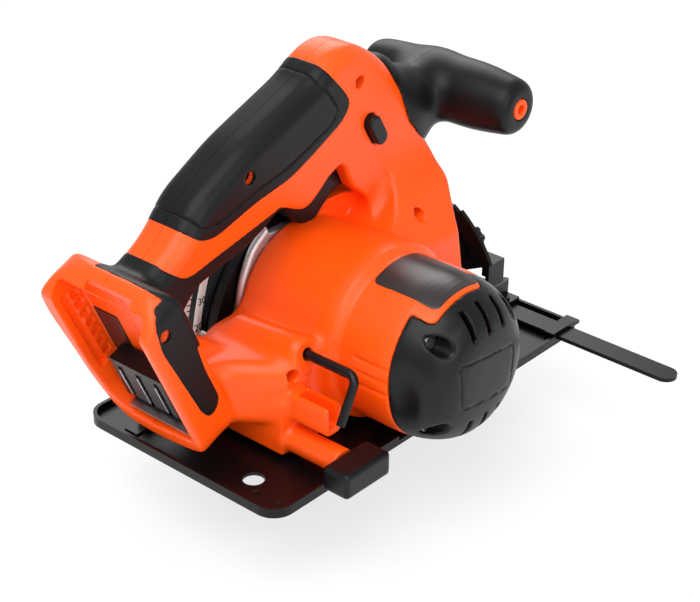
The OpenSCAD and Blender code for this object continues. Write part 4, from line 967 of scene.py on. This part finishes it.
    def soft_area(self, shape: Outline, p: np.ndarray) -> np.ndarray:
        """Where soft rubber covers the saw: an outline pushed through, kept behind the foot's crest.

        Args:
            shape: Outline of the soft part.
            p: The places asked about.

        Returns:
            Signed distances.
        """
        a = math.radians(self.foot.lean)
        x, z = p[:, 0] - self.foot.origin[0], p[:, 2] - self.foot.origin[2]
        into, up = x * math.cos(a) + z * math.sin(a), z * math.cos(a) - x * math.sin(a)
        crest = np.maximum(np.maximum(into - 20.3, SEAM_Y - 33.0 - p[:, 1]), 84.0 - up)
        shoulder = np.maximum(np.maximum(SEAM_Y + 13.0 - p[:, 1], 88.0 - up), into - 34.0)
        return np.maximum(shape(p[:, 0], p[:, 2]), -np.minimum(crest, shoulder))

    def orange(self) -> Field:
        """The orange moulding, with beds for the soft parts.

        Returns:
            Both halves as one hollow solid.
        """
        outer = self.solid()

        def distance(p: np.ndarray) -> np.ndarray:
            """Distance to the moulding with its two beds.

            Args:
                p: The places asked about.

            Returns:
                Signed distances.
            """
            d = outer(p)
            out = d
            for shape in (self.grip_shape, self.lining_shape):
                area = self.soft_area(shape, p)
                bed = np.maximum(area + 0.5, -(d + self.skin_depth + 0.25))
                out = -smooth_min(-out, bed, 0.4)
            return out

        return Field(distance).cut(self.hollows(), 0.8).cut(self.screw_holes(), 0.5)

    def soft(self, shape: Outline, panel: Outline | None = None) -> Field:
        """A soft skin over the handle, with a groove round its inner panel.

        Args:
            shape: Outline of the skin.
            panel: Outline of the groove, if it has one.

        Returns:
            Both halves of the skin as one solid.
        """
        outer = self.solid()

        def distance(p: np.ndarray) -> np.ndarray:
            """Distance to the skin.

            Args:
                p: The places asked about.

            Returns:
                Signed distances.
            """
            d = outer(p)
            layer = np.maximum(d - self.proud, -(d + self.skin_depth))
            if panel is not None:
                groove = np.maximum(np.abs(panel(p[:, 0], p[:, 2])) - 0.45, -(d - self.proud + 0.7))
                layer = -smooth_min(-layer, groove, 0.5)
            return -smooth_min(-layer, -self.soft_area(shape, p), 0.5)

        return Field(distance).cut(self.screw_holes(), 0.5).cut(self.foot_room())

    def build(self) -> None:
        """Builds the two orange halves, the grips and the linings."""
        shape = skin(self.orange(), (-170, -114, -2), (92, 66, 194), cell_size(1.0))
        make_halves("orange_housing", shape, ORANGE_ABS, ("housing_right",), ("housing_left",))
        panel = Outline([(-20, 200), (-13.5, 176), (-4, 164), (0.5, 157), (-5, 151), (-24, 143), (-40, 137),
                         (-62, 132), (-84, 125), (-97, 124), (-104, 130), (-118, 146), (-110, 170)], 5)
        fine = cell_size(0.85)
        shape = skin(self.soft(self.grip_shape, panel), (-126, 0, 110), (14, 41, 192), fine)
        make_halves("soft_grip", shape, SOFT_RUBBER, ("grip_right",), ("grip_left",), SOFT_SLIT)
        shape = skin(self.soft(self.lining_shape), (-160, -24, 16), (-30, 66, 126), fine)
        make_halves("soft_lining", shape, SOFT_RUBBER, ("foot_pads",), (), SOFT_SLIT)


@dataclass
class MotorCap:
    """The vented black cap over the motor's end."""

    housing: Housing
    screw_angles: tuple[float, ...] = (138.5, 219.5, 318.5, 41.5)
    screw_r: float = 36.5
    vent_x: tuple[float, ...] = (-23.0, -11.4, 0.2, 11.6)

    def solid(self) -> Field:
        """The cap with its scoop, screw seats and the edge of its bare plaque.

        Returns:
            The cap.
        """
        dome = self.housing.dome()
        outer = dome.meet(beyond((0, BARREL_END - 0.35, 0), (0, 1, 0)), 0.8)
        outer = outer.cut(self.housing.tongue_cutter(0.35), 0.8)
        # a shallow hollow at the back where the cap clears the hex key
        scoop = capsule((MOTOR_X - 52, -92, MOTOR_Z + 12), (MOTOR_X - 48, -90, MOTOR_Z - 26), 10.5, 9.5)
        inner = self.housing.dome(self.housing.wall).cut(scoop.grow(4.0), 1.0)
        seats = [around(self.screw_r, angle) for angle in self.screw_angles]
        posts = joined(rod("y", x, z, -120, -80, 6.2) for x, z in seats)
        cap = outer.cut(scoop, 5).cut(inner.cut(posts, 1.0))
        for x, z in seats:
            cap = cap.cut(rod("y", x, z, -130, -90, 4.6), 1.6).cut(rod("y", x, z, -130, -70, 2.1))
        plaque = Outline([(-34.6, 62.6, 3), (8.8, 58.6, 3), (8.4, 33.4, 3), (-32.4, 36.6, 3)], 3)
        # only a fine line shows where the plaque's edge is
        line = Field(lambda p: np.maximum(np.abs(plaque(p[:, 0], p[:, 2])) - 0.5, -(dome(p) + 0.55)))
        return self.vented(cap.cut(line.meet(beyond((0, -95, 0), (0, 1, 0))), 0.4))

    def vented(self, cap: Field) -> Field:
        """Cuts the upright slots above and below the plaque, shorter away from the middle.

        Args:
            cap: The cap without slots.

        Returns:
            The cap with them.
        """
        half, near = 1.5, 22.6
        for x in self.vent_x:
            far = 38.2 - 0.011 * (x - MOTOR_X) ** 2
            for way in (1, -1):
                z0, z1 = sorted((MOTOR_Z + way * near, MOTOR_Z + way * far))
                slot = Outline([(x - half, z0), (x + half, z0), (x + half, z1),
                    (x - half, z1)], 1.4, pitch=0.25)
                cap = cap.cut(prism("y", slot, -125, -88), 0.5)
        return cap

    def build(self) -> None:
        """Builds the cap."""
        shape = skin(self.solid(), (-62, -113, -1), (38, -76, 99), cell_size(0.9))
        make_piece("motor_cap_vented", shape, BLACK_ABS, "saw_body", ("motor_cap",))


@dataclass
class AuxHandle:
    """The front T-handle with its flared neck and orange end insert."""

    housing: Housing
    x: float = 100.0
    z: float = 139.0
    radius: float = 16.6
    length: float = 106.5
    mid_y: float = 13.0

    def solid(self) -> Field:
        """The black handle.

        Returns:
            The handle, cut to fit the head.
        """
        h = self.length / 2
        r = self.radius
        shape = Outline([(-20, -h), (11.5, -h, 3), (15.4, -h + 3.2, 4), (r, -h + 10, 6),
            (r + 2.4, -h + 28, 12), (r + 2.2, 0, 12), (r + 0.4, h - 24, 12), (15.6, h - 8, 6),
            (13.4, h - 2.5, 4), (8, h, 3), (-20, h)], 6)
        bar = Field(lambda p: shape(np.hypot(p[:, 0] - self.x, p[:, 2] - self.z), p[:, 1] - self.mid_y))
        # the neck widens towards the head and is trimmed to lie on it
        neck = capsule((self.x, SEAM_Y, self.z), (70, SEAM_Y, 140), 14.5, 17)
        collar = capsule((44, SEAM_Y, 156), (70, SEAM_Y, 121), 15.6)
        body = bar.join(neck, 12).join(collar, 14)
        body = body.meet(beyond((0, -60, 0), (0, -1, 0)))
        body = body.cut(self.housing.frame.grow(0.35), 0.8)
        body = body.meet(beyond((50, 0, 142), (-0.78, 0, -0.62)), 1)
        return body.cut(rod("y", self.x, self.z, self.mid_y - h - 2, self.mid_y - h + 8, 6.1), 0.8)

    def build(self) -> None:
        """Builds both halves of the handle and the insert in its end."""
        shape = skin(self.solid(), (34, -44, 96), (122, 70, 182), cell_size(1.0))
        make_halves("front_handle", shape, SOFT_RUBBER, ("aux_handle_right",),
            ("aux_handle_left",), SOFT_SLIT)
        end = self.mid_y - self.length / 2
        insert = rod("y", self.x, self.z, end - 0.4, end + 7.8, 5.8, 0.8)
        insert = insert.cut(rod("y", self.x, self.z, end - 3, end + 5, 2.7), 0.8)
        low, high = (self.x - 8, end - 3, self.z - 8), (self.x + 8, end + 10, self.z + 8)
        make_piece("front_handle_insert", skin(insert, low, high, 0.45), ORANGE_ABS,
            "saw_body", ("aux_end_cap",))


@dataclass
class Controls:
    """Trigger, lock-off button and depth lever."""

    housing: Housing
    trigger_y: tuple[float, float] = (13.5, 27.5)
    trigger_pin: tuple[float, float] = (14, 114)
    lock_off_y: tuple[float, float] = (-0.4, 36.5)

    def trigger(self) -> Field:
        """The curved finger lever with the hole for its pin.

        Returns:
            The lever.
        """
        side = Outline([(8, 131), (18, 119), (20.6, 106.2, 1.2), (13.8, 106.6), (6.4, 103.8), (0.5, 99.4),
            (-5.5, 94.0), (-11.3, 92.3), (-18.0, 94.8), (-25.3, 100.6), (-30.6, 108.2),
            (-31, 120), (-10, 128)], 3)
        return prism("y", side, *self.trigger_y, 2.6).cut(rod("y", *self.trigger_pin, 0, 40, 2.1))

    def depth_lever(self) -> Field:
        """The square block turned to clamp the depth, on the end of its bolt."""
        lever = block((-96.2, -88.6, 5.0), (-62.8, -71.6, 19.0), 2.6)
        return lever.cut(rod("y", TUBE_X, TUBE_Z, -82, -60, 3.1))

    def build(self) -> None:
        """Builds the three controls."""
        fine = cell_size(0.6)
        shape = skin(self.trigger(), (-34, 11, 90), (24, 30, 121), fine)
        make_piece("trigger_lever", shape, BLACK_ABS, "switch_trigger", ("trigger",))
        shape = skin(self.housing.lock_off_shape(0.0, *self.lock_off_y), (18, -3, 126), (37, 39, 152), fine)
        make_piece("lock_off_bar", shape, BLACK_ABS, "lock_off", ("lock_off_button",))
        shape = skin(self.depth_lever(), (-99, -92, 2), (-60, -68, 22), cell_size(0.75))
        make_piece("depth_lever_block", shape, BLACK_ABS, "depth_clamp", ("depth_lever",))


@dataclass
class CastShoulder:
    """The rounded rim of the gear case that shows through the hand opening."""

    back_y: float = 22.8
    front_y: float = 27.7

    def build(self) -> None:
        """Builds the rim."""
        rim = Outline([(-24.5, 99.5, 3), (-31, 97.2, 6), (-40, 91.2, 6), (-45.8, 86.5, 6), (-50.2, 78.6, 6),
                       (-54.2, 69.8, 6), (-57.2, 53, 8), (-57, 36, 8), (-50, 12), (20, 12), (24, 60), (0, 74),
                       (-20, 82)], 3)
        clear = beyond((0, 0, 91.2), (0, 0, 1)).join(beyond((-33.5, 0, 0), (1, 0, 0)))
        shoulder = prism("y", rim, self.back_y, self.front_y, 2.6).meet(clear, 0.5)
        shoulder = shoulder.cut(rod("y", SPINDLE_X, SPINDLE_Z, 15, 40, 24))
        shape = skin(shoulder, (-60, 20, 9), (28, 30, 102), cell_size(0.7))
        make_piece("gear_case_shoulder", shape, CAST_ALUMINIUM, "saw_body")


@dataclass
class BatteryPlate:
    """The bare dark plate on the far wall inside the battery foot."""

    foot: FootFrame

    def build(self) -> None:
        """Builds the plate with its shallow raised edge."""
        plate = block((17.2, 13, 30), (18.6, 30, 62), 0.3).cut(block((15, 14.2, 31.2),
            (17.5, 28.8, 60.8), 0.2))
        shape = skin(self.foot.place(plate), (-150, 30, 35), (-110, 56, 85), cell_size(0.5))
        make_piece("battery_plate_bare", shape, DARK_PLATE, "saw_body")


def kept_mesh(obj: bpy.types.Object, name: str) -> bpy.types.Mesh:
    """The mesh a helper object comes to, kept while the helper is thrown away.

    Args:
        obj: The helper, with its modifiers or text.
        name: Name of the mesh.

    Returns:
        The mesh.
    """
    bpy.context.view_layer.update()
    graph = bpy.context.evaluated_depsgraph_get()
    mesh = bpy.data.meshes.new_from_object(obj.evaluated_get(graph))
    bpy.data.objects.remove(obj, do_unlink=True)
    mesh.name = name
    return mesh


def finish_tree(obj: bpy.types.Object, tree: bpy.types.NodeTree, values: dict[str, Any],
                name: str) -> bpy.types.Object:
    """Runs a node tree on a seed object and keeps the result as a plain object.

    Args:
        obj: Seed object.
        tree: The tree.
        values: Tree input name to value.
        name: Name of the result.

    Returns:
        The object, not yet in the scene.
    """
    mod = obj.modifiers.new("build", "NODES")
    mod.node_group = tree
    for item in tree.interface.items_tree:
        if item.item_type == "SOCKET" and item.in_out == "INPUT" and item.name in values:
            mod[item.identifier] = values[item.name]
    obj.update_tag()
    mesh = kept_mesh(obj, name)
    mesh.materials.clear()
    return bpy.data.objects.new(name, mesh)


def new_tree(name: str, inputs: dict[str, tuple[str, Any]]
             ) -> tuple[bpy.types.NodeTree, bpy.types.Node, bpy.types.Node]:
    """An empty node tree with named inputs.

    Args:
        name: Name of the tree.
        inputs: Input name to (socket type, value).

    Returns:
        The tree, its input node and its output node.
    """
    tree = bpy.data.node_groups.new(name, "GeometryNodeTree")
    tree.interface.new_socket(name="Geometry", in_out="INPUT", socket_type="NodeSocketGeometry")
    for key, (kind, value) in inputs.items():
        socket = tree.interface.new_socket(name=key, in_out="INPUT", socket_type=kind)
        socket.default_value = value
    tree.interface.new_socket(name="Geometry", in_out="OUTPUT", socket_type="NodeSocketGeometry")
    return tree, tree.nodes.new("NodeGroupInput"), tree.nodes.new("NodeGroupOutput")


def seed(points: Sequence[Sequence[float]], edges: Sequence[tuple[int, int]]) -> bpy.types.Object:
    """A small helper object of points and edges, in millimetres.

    Args:
        points: Its points.
        edges: Pairs of point numbers.

    Returns:
        The object.
    """
    mesh = bpy.data.meshes.new("seed")
    mesh.from_pydata([tuple(c * MM for c in q) for q in points], edges, [])
    obj = bpy.data.objects.new("seed", mesh)
    bpy.context.scene.collection.objects.link(obj)
    return obj


@dataclass
class HexKey:
    """The hex key: a six-sided bar swept round a bend."""

    flats: float = 4.6
    bend: float = 5.0
    sides: int = 6
    path: tuple[tuple[float, float, float], ...] = ((KEY_X, 0, KEY_Z),
        (KEY_X, -70.3, KEY_Z), (-80.8, -70.3, 34.4))

    def tree(self) -> bpy.types.NodeTree:
        """The sweep: rounds the path's corner and draws a many-sided bar along it.

        Returns:
            The tree.
        """
        tree, given, out = new_tree("swept_bar", {
            "Radius": ("NodeSocketFloat", 0.002), "Bend": ("NodeSocketFloat", 0.005),
            "Sides": ("NodeSocketInt", 6), "Material": ("NodeSocketMaterial", None)})
        line = put(tree, "GeometryNodeMeshToCurve", {"Mesh": given.outputs["Geometry"]})
        bent = put(tree, "GeometryNodeFilletCurve", {
            "Curve": line.outputs[0], "Count": 10, "Radius": given.outputs["Bend"]}, mode="POLY")
        ring = put(tree, "GeometryNodeCurvePrimitiveCircle", {
            "Resolution": given.outputs["Sides"], "Radius": given.outputs["Radius"]})
        bar = put(tree, "GeometryNodeCurveToMesh", {
            "Curve": bent.outputs[0], "Profile Curve": ring.outputs[0], "Fill Caps": True})
        real = put(tree, "GeometryNodeRealizeInstances", {0: bar.outputs[0]})
        dressed = put(tree, "GeometryNodeSetMaterial", {
            "Geometry": real.outputs[0], "Material": given.outputs["Material"]})
        tree.links.new(dressed.outputs[0], out.inputs[0])
        return tree

    def build(self) -> None:
        """Sweeps the key."""
        values = {"Radius": self.flats / math.sqrt(3) * MM, "Bend": self.bend * MM, "Sides": self.sides,
                  "Material": material(OILED_STEEL)}
        key = finish_tree(seed(self.path, [(0, 1), (1, 2)]), self.tree(), values, "hex_key_bar")
        dress(key, OILED_STEEL, "hex_wrench", ("hex_key",))


@dataclass
class DepthScale:
    """Black ticks and plain numbers on the white depth quadrant."""

    centre: tuple[float, float] = (84.0, 18.0)
    radius: float = 163.78
    face_y: float = 37.9
    start: float = 181.8
    sweep: float = 28.0
    count: int = 25
    numbers: int = 6
    major_every: float = 5.0
    tick_size: tuple[float, float, float] = (0.0022, 0.00024, 0.0006)
    tick_out: float = 4.4
    number_in: float = 4.8
    number_size: float = 0.006

    def tree(self) -> bpy.types.NodeTree:
        """Ticks along an arc: count, radius, first angle, sweep and tick length.

        Returns:
            The tree.
        """
        floats = {"Radius": 0.16, "Start": 0.0, "Sweep": 0.5, "Length": 0.003}
        tree, given, out = new_tree("tick_arc", {
            "Count": ("NodeSocketInt", 10), **{k: ("NodeSocketFloat", v) for k, v in floats.items()}})
        line = put(tree, "GeometryNodeMeshLine", {"Count": given.outputs["Count"]})
        index = put(tree, "GeometryNodeInputIndex").outputs[0]
        last = put(tree, "ShaderNodeMath", {0: given.outputs["Count"], 1: 1.0},
            operation="SUBTRACT").outputs[0]
        part = put(tree, "ShaderNodeMath", {0: index, 1: last}, operation="DIVIDE").outputs[0]
        turn = put(tree, "ShaderNodeMath", {0: part, 1: given.outputs["Sweep"]},
            operation="MULTIPLY").outputs[0]
        angle = put(tree, "ShaderNodeMath", {0: turn, 1: given.outputs["Start"]}, operation="ADD").outputs[0]
        cos = put(tree, "ShaderNodeMath", {0: angle}, operation="COSINE").outputs[0]
        sin = put(tree, "ShaderNodeMath", {0: angle}, operation="SINE").outputs[0]
        x = put(tree, "ShaderNodeMath", {0: cos, 1: given.outputs["Radius"]}, operation="MULTIPLY").outputs[0]
        z = put(tree, "ShaderNodeMath", {0: sin, 1: given.outputs["Radius"]}, operation="MULTIPLY").outputs[0]
        at = put(tree, "ShaderNodeCombineXYZ", {"X": x, "Z": z}).outputs[0]
        spots = put(tree, "GeometryNodeSetPosition", {"Geometry": line.outputs[0], "Position": at})
        every = put(tree, "ShaderNodeMath", {0: index, 1: self.major_every}, operation="MODULO").outputs[0]
        long = put(tree, "ShaderNodeMath", {0: every, 1: 0.5}, operation="LESS_THAN").outputs[0]
        factor = put(tree, "ShaderNodeMath", {0: long, 1: 0.8, 2: 1.0}, operation="MULTIPLY_ADD").outputs[0]
        size = put(tree, "ShaderNodeCombineXYZ", {"X": factor, "Y": 1.0, "Z": 1.0}).outputs[0]
        negative = put(tree, "ShaderNodeMath", {0: angle, 1: -1.0}, operation="MULTIPLY").outputs[0]
        spin = put(tree, "ShaderNodeCombineXYZ", {"Y": negative}).outputs[0]
        shape = put(tree, "ShaderNodeCombineXYZ", {
            "X": given.outputs["Length"], "Y": self.tick_size[1], "Z": self.tick_size[2]}).outputs[0]
        tick = put(tree, "GeometryNodeMeshCube", {"Size": shape})
        all_ticks = put(tree, "GeometryNodeInstanceOnPoints", {
            "Points": spots.outputs[0], "Instance": tick.outputs[0], "Rotation": spin, "Scale": size})
        real = put(tree, "GeometryNodeRealizeInstances", {0: all_ticks.outputs[0]})
        dressed = put(tree, "GeometryNodeSetMaterial", {
            "Geometry": real.outputs[0], "Material": material(SCALE_PRINT)})
        tree.links.new(dressed.outputs[0], out.inputs[0])
        return tree

    def ticks(self) -> None:
        """Lays the ticks on the scale's face."""
        values = {"Count": self.count, "Radius": (self.radius + self.tick_out) * MM,
            "Length": self.tick_size[0], "Start": math.radians(self.start - self.sweep),
            "Sweep": math.radians(self.sweep - 1)}
        arc = finish_tree(seed([(0, 0, 0), (1, 0, 0)], [(0, 1)]), self.tree(), values, "depth_scale_ticks")
        centre = Vector((self.centre[0], self.face_y + 0.02, self.centre[1])) * MM
        arc.data.transform(Matrix.Translation(centre))
        dress(arc, SCALE_PRINT, "bevel_frame")

    def number(self, value: int, angle: float) -> bpy.types.Mesh:
        """One plain number, standing upright on the scale's face.

        Args:
            value: What it says.
            angle: Where it is on the arc, in degrees.

        Returns:
            Its mesh.
        """
        curve = bpy.data.curves.new("number", "FONT")
        curve.body = str(value)
        curve.size = self.number_size
        curve.extrude = self.tick_size[1] / 2
        curve.align_x = "CENTER"
        curve.align_y = "CENTER"
        holder = bpy.data.objects.new("number", curve)
        bpy.context.scene.collection.objects.link(holder)
        mesh = kept_mesh(holder, "number")
        a, r = math.radians(angle), self.radius - self.number_in
        x, z = self.centre[0] + r * math.cos(a), self.centre[1] + r * math.sin(a)
        where = Matrix.Translation(Vector((x, self.face_y - 0.05, z)) * MM)
        mesh.transform(where @ Matrix.Rotation(math.radians(90), 4, "X"))
        return mesh

    def build(self) -> None:
        """Lays the ticks and the numbers on the scale's face."""
        self.ticks()
        bm = bmesh.new()
        step = (self.sweep - 1) / (self.numbers - 1)
        for i in range(self.numbers):
            bm.from_mesh(self.number(i * 10, self.start - 1 - i * step))
        bmesh.ops.remove_doubles(bm, verts=bm.verts[:], dist=1e-7)
        joined_numbers = bpy.data.meshes.new("depth_scale_numbers")
        bm.to_mesh(joined_numbers)
        bm.free()
        dress(bpy.data.objects.new("depth_scale_numbers", joined_numbers), SCALE_PRINT, "bevel_frame")


@dataclass
class Metalwork:
    """CAD pieces that keep their own shape and take a finer finish."""

    bevels: dict[str, float] = field(default_factory=lambda: {"base_plate": 0.7, "bevel_quadrant": 0.5,
        "front_bracket": 0.4, "guide_bar": 0.35, "guide_fence": 0.5, "depth_quadrant": 0.2,
        "upper_guard": 0.8, "gear_case": 0.6, "terminal_block": 0.3, "rail_plate": 0.2, "bevel_knob": 0.5,
        "guide_screw": 0.4, "lower_guard": 0.3, "hinge_ears": 0.3})

    def build(self) -> None:
        """Dresses every CAD node that is shown."""
        rows = {s["node"]: s["material_slot"] for s in frame["record"]["subparts"]}
        for name, obj in frame["nodes"].items():
            finish = SLOT_FINISH[rows[name]]
            for slot in obj.material_slots:
                slot.material = material(finish)
            if name in self.bevels:
                mod = obj.modifiers.new("edge", "BEVEL")
                mod.width = self.bevels[name] * MM
                mod.segments = 2
                mod.limit_method = "ANGLE"
                mod.angle_limit = math.radians(40)
                mod.use_clamp_overlap = True
                mod.harden_normals = True


@dataclass
class RatingPlate:
    """The bare dark plate let into the top of the motor barrel."""

    housing: Housing
    middle_angle: float = 94.0
    half_angle: float = 24.0
    middle_y: float = -69.5
    half_width: float = 20.5

    def solid(self) -> Field:
        """The plate, bent round the barrel.

        Returns:
            The plate.
        """
        dome = self.housing.dome()

        def distance(p: np.ndarray) -> np.ndarray:
            """Distance to a thin curved plate on the barrel.

            Args:
                p: The places asked about.

            Returns:
                Signed distances.
            """
            x, z = p[:, 0] - MOTOR_X, p[:, 2] - MOTOR_Z
            arc = (np.abs(np.degrees(np.arctan2(z, x)) - self.middle_angle) - self.half_angle) * np.pi / 180
            edge = corner(arc * BARREL_R, np.abs(p[:, 1] - self.middle_y) - self.half_width, 4.0)
            return np.maximum(corner(edge, np.abs(dome(p) + 0.4) - 0.75, 0.2), 10 - np.hypot(x, z))

        return Field(distance)

    def build(self) -> None:
        """Builds the plate."""
        shape = skin(self.solid(), (-50, -92, 60), (20, -47, 96), cell_size(0.5))
        make_piece("rating_plate_bare", shape, DARK_PLATE, "saw_body")


@dataclass
class Studio:
    """Pale floor, soft light and the camera."""

    floor_z: float = -0.046
    floor_half: float = 4.0
    floor_glow: float = 0.72
    sky: float = 0.62
    lens: float = 91.543

    def camera(self) -> None:
        """Puts the camera where the saw is seen from behind on the motor side."""
        data = bpy.data.cameras.new("view")
        data.lens = self.lens
        data.sensor_width = 36
        data.dof.use_dof = False
        cam = bpy.data.objects.new("view", data)
        right = (0.65985458, -0.7513375, 0.00915883)
        up = (0.35900029, 0.32594944, 0.87457175)
        back = (-0.66008387, -0.57380216, 0.48480962)
        turn = Matrix((right, up, back)).transposed().to_4x4()
        cam.matrix_world = Matrix.Translation((-0.637976, -0.560043, 0.516653)) @ turn
        bpy.context.scene.collection.objects.link(cam)
        bpy.context.scene.camera = cam

    def lamp(self, name: str, place: Sequence[float], aim: Sequence[float], size: float,
            power: float) -> None:
        """Hangs one soft square lamp.

        Args:
            name: Its name.
            place: Where it is, in metres.
            aim: What it points at.
            size: Its side in metres.
            power: Its power in watts.
        """
        data = bpy.data.lights.new(name, "AREA")
        data.size = size
        data.energy = power
        lamp = bpy.data.objects.new(name, data)
        lamp.location = place
        lamp.rotation_euler = (Vector(aim) - Vector(place)).to_track_quat("-Z", "Y").to_euler()
        bpy.context.scene.collection.objects.link(lamp)

    def world(self) -> None:
        """A white background that lights the saw a little less than it shows."""
        world = bpy.data.worlds.new("studio")
        bpy.context.scene.world = world
        world.use_nodes = True
        tree = world.node_tree
        tree.nodes.clear()
        seen = put(tree, "ShaderNodeLightPath").outputs["Is Camera Ray"]
        soft = put(tree, "ShaderNodeBackground", {"Color": (1, 1, 1, 1), "Strength": self.sky}).outputs[0]
        plain = put(tree, "ShaderNodeBackground", {"Color": (1, 1, 1, 1), "Strength": 1.0}).outputs[0]
        mix = put(tree, "ShaderNodeMixShader", {0: seen, 1: soft, 2: plain})
        put(tree, "ShaderNodeOutputWorld", {"Surface": mix.outputs[0]})

    def floor(self) -> None:
        """A matt white sheet that takes soft shadows and fades into the background."""
        half, z = self.floor_half, self.floor_z
        mesh = bpy.data.meshes.new("floor")
        corners = [(-half, -half, z), (half, -half, z), (half, half, z), (-half, half, z)]
        mesh.from_pydata(corners, [], [(0, 1, 2, 3)])
        floor = bpy.data.objects.new("floor", mesh)
        bpy.context.scene.collection.objects.link(floor)
        mat = bpy.data.materials.new("pale_floor")
        mat.use_nodes = True
        tree = mat.node_tree
        tree.nodes.clear()
        seen = put(tree, "ShaderNodeLightPath").outputs["Is Camera Ray"]
        share = put(tree, "ShaderNodeMath", {0: seen, 1: self.floor_glow}, operation="MULTIPLY").outputs[0]
        matt = put(tree, "ShaderNodeBsdfDiffuse", {"Color": (0.95, 0.95, 0.95, 1)}).outputs[0]
        white = put(tree, "ShaderNodeEmission", {"Color": (1, 1, 1, 1), "Strength": 1.0}).outputs[0]
        surface = put(tree, "ShaderNodeMixShader", {0: share, 1: matt, 2: white}).outputs[0]
        put(tree, "ShaderNodeOutputMaterial", {"Surface": surface})
        mesh.materials.append(mat)

    def build(self) -> None:
        """Background, floor and lamps."""
        bpy.context.scene.view_settings.view_transform = "Standard"
        self.world()
        self.floor()
        self.lamp("key", (-0.7, -0.2, 1.3), (0, 0, 0.05), 1.2, 15)
        self.lamp("fill", (-0.4, -1.3, 0.7), (0, 0, 0.05), 1.0, 7)
        self.lamp("rim", (0.9, 0.9, 1.0), (0, 0, 0.1), 1.0, 10)


def main() -> None:
    """Builds the saw and its studio."""
    logging.basicConfig(level=logging.INFO, format="%(message)s")
    studio = Studio()
    studio.camera()
    housing = Housing()
    parts = (housing, MotorCap(housing), AuxHandle(housing), Controls(housing), HexKey(), CastShoulder(),
             BatteryPlate(housing.foot), RatingPlate(housing), DepthScale(), Metalwork())
    for part in parts:
        part.build()
    studio.build()


if __name__ == "__main__":
    main()
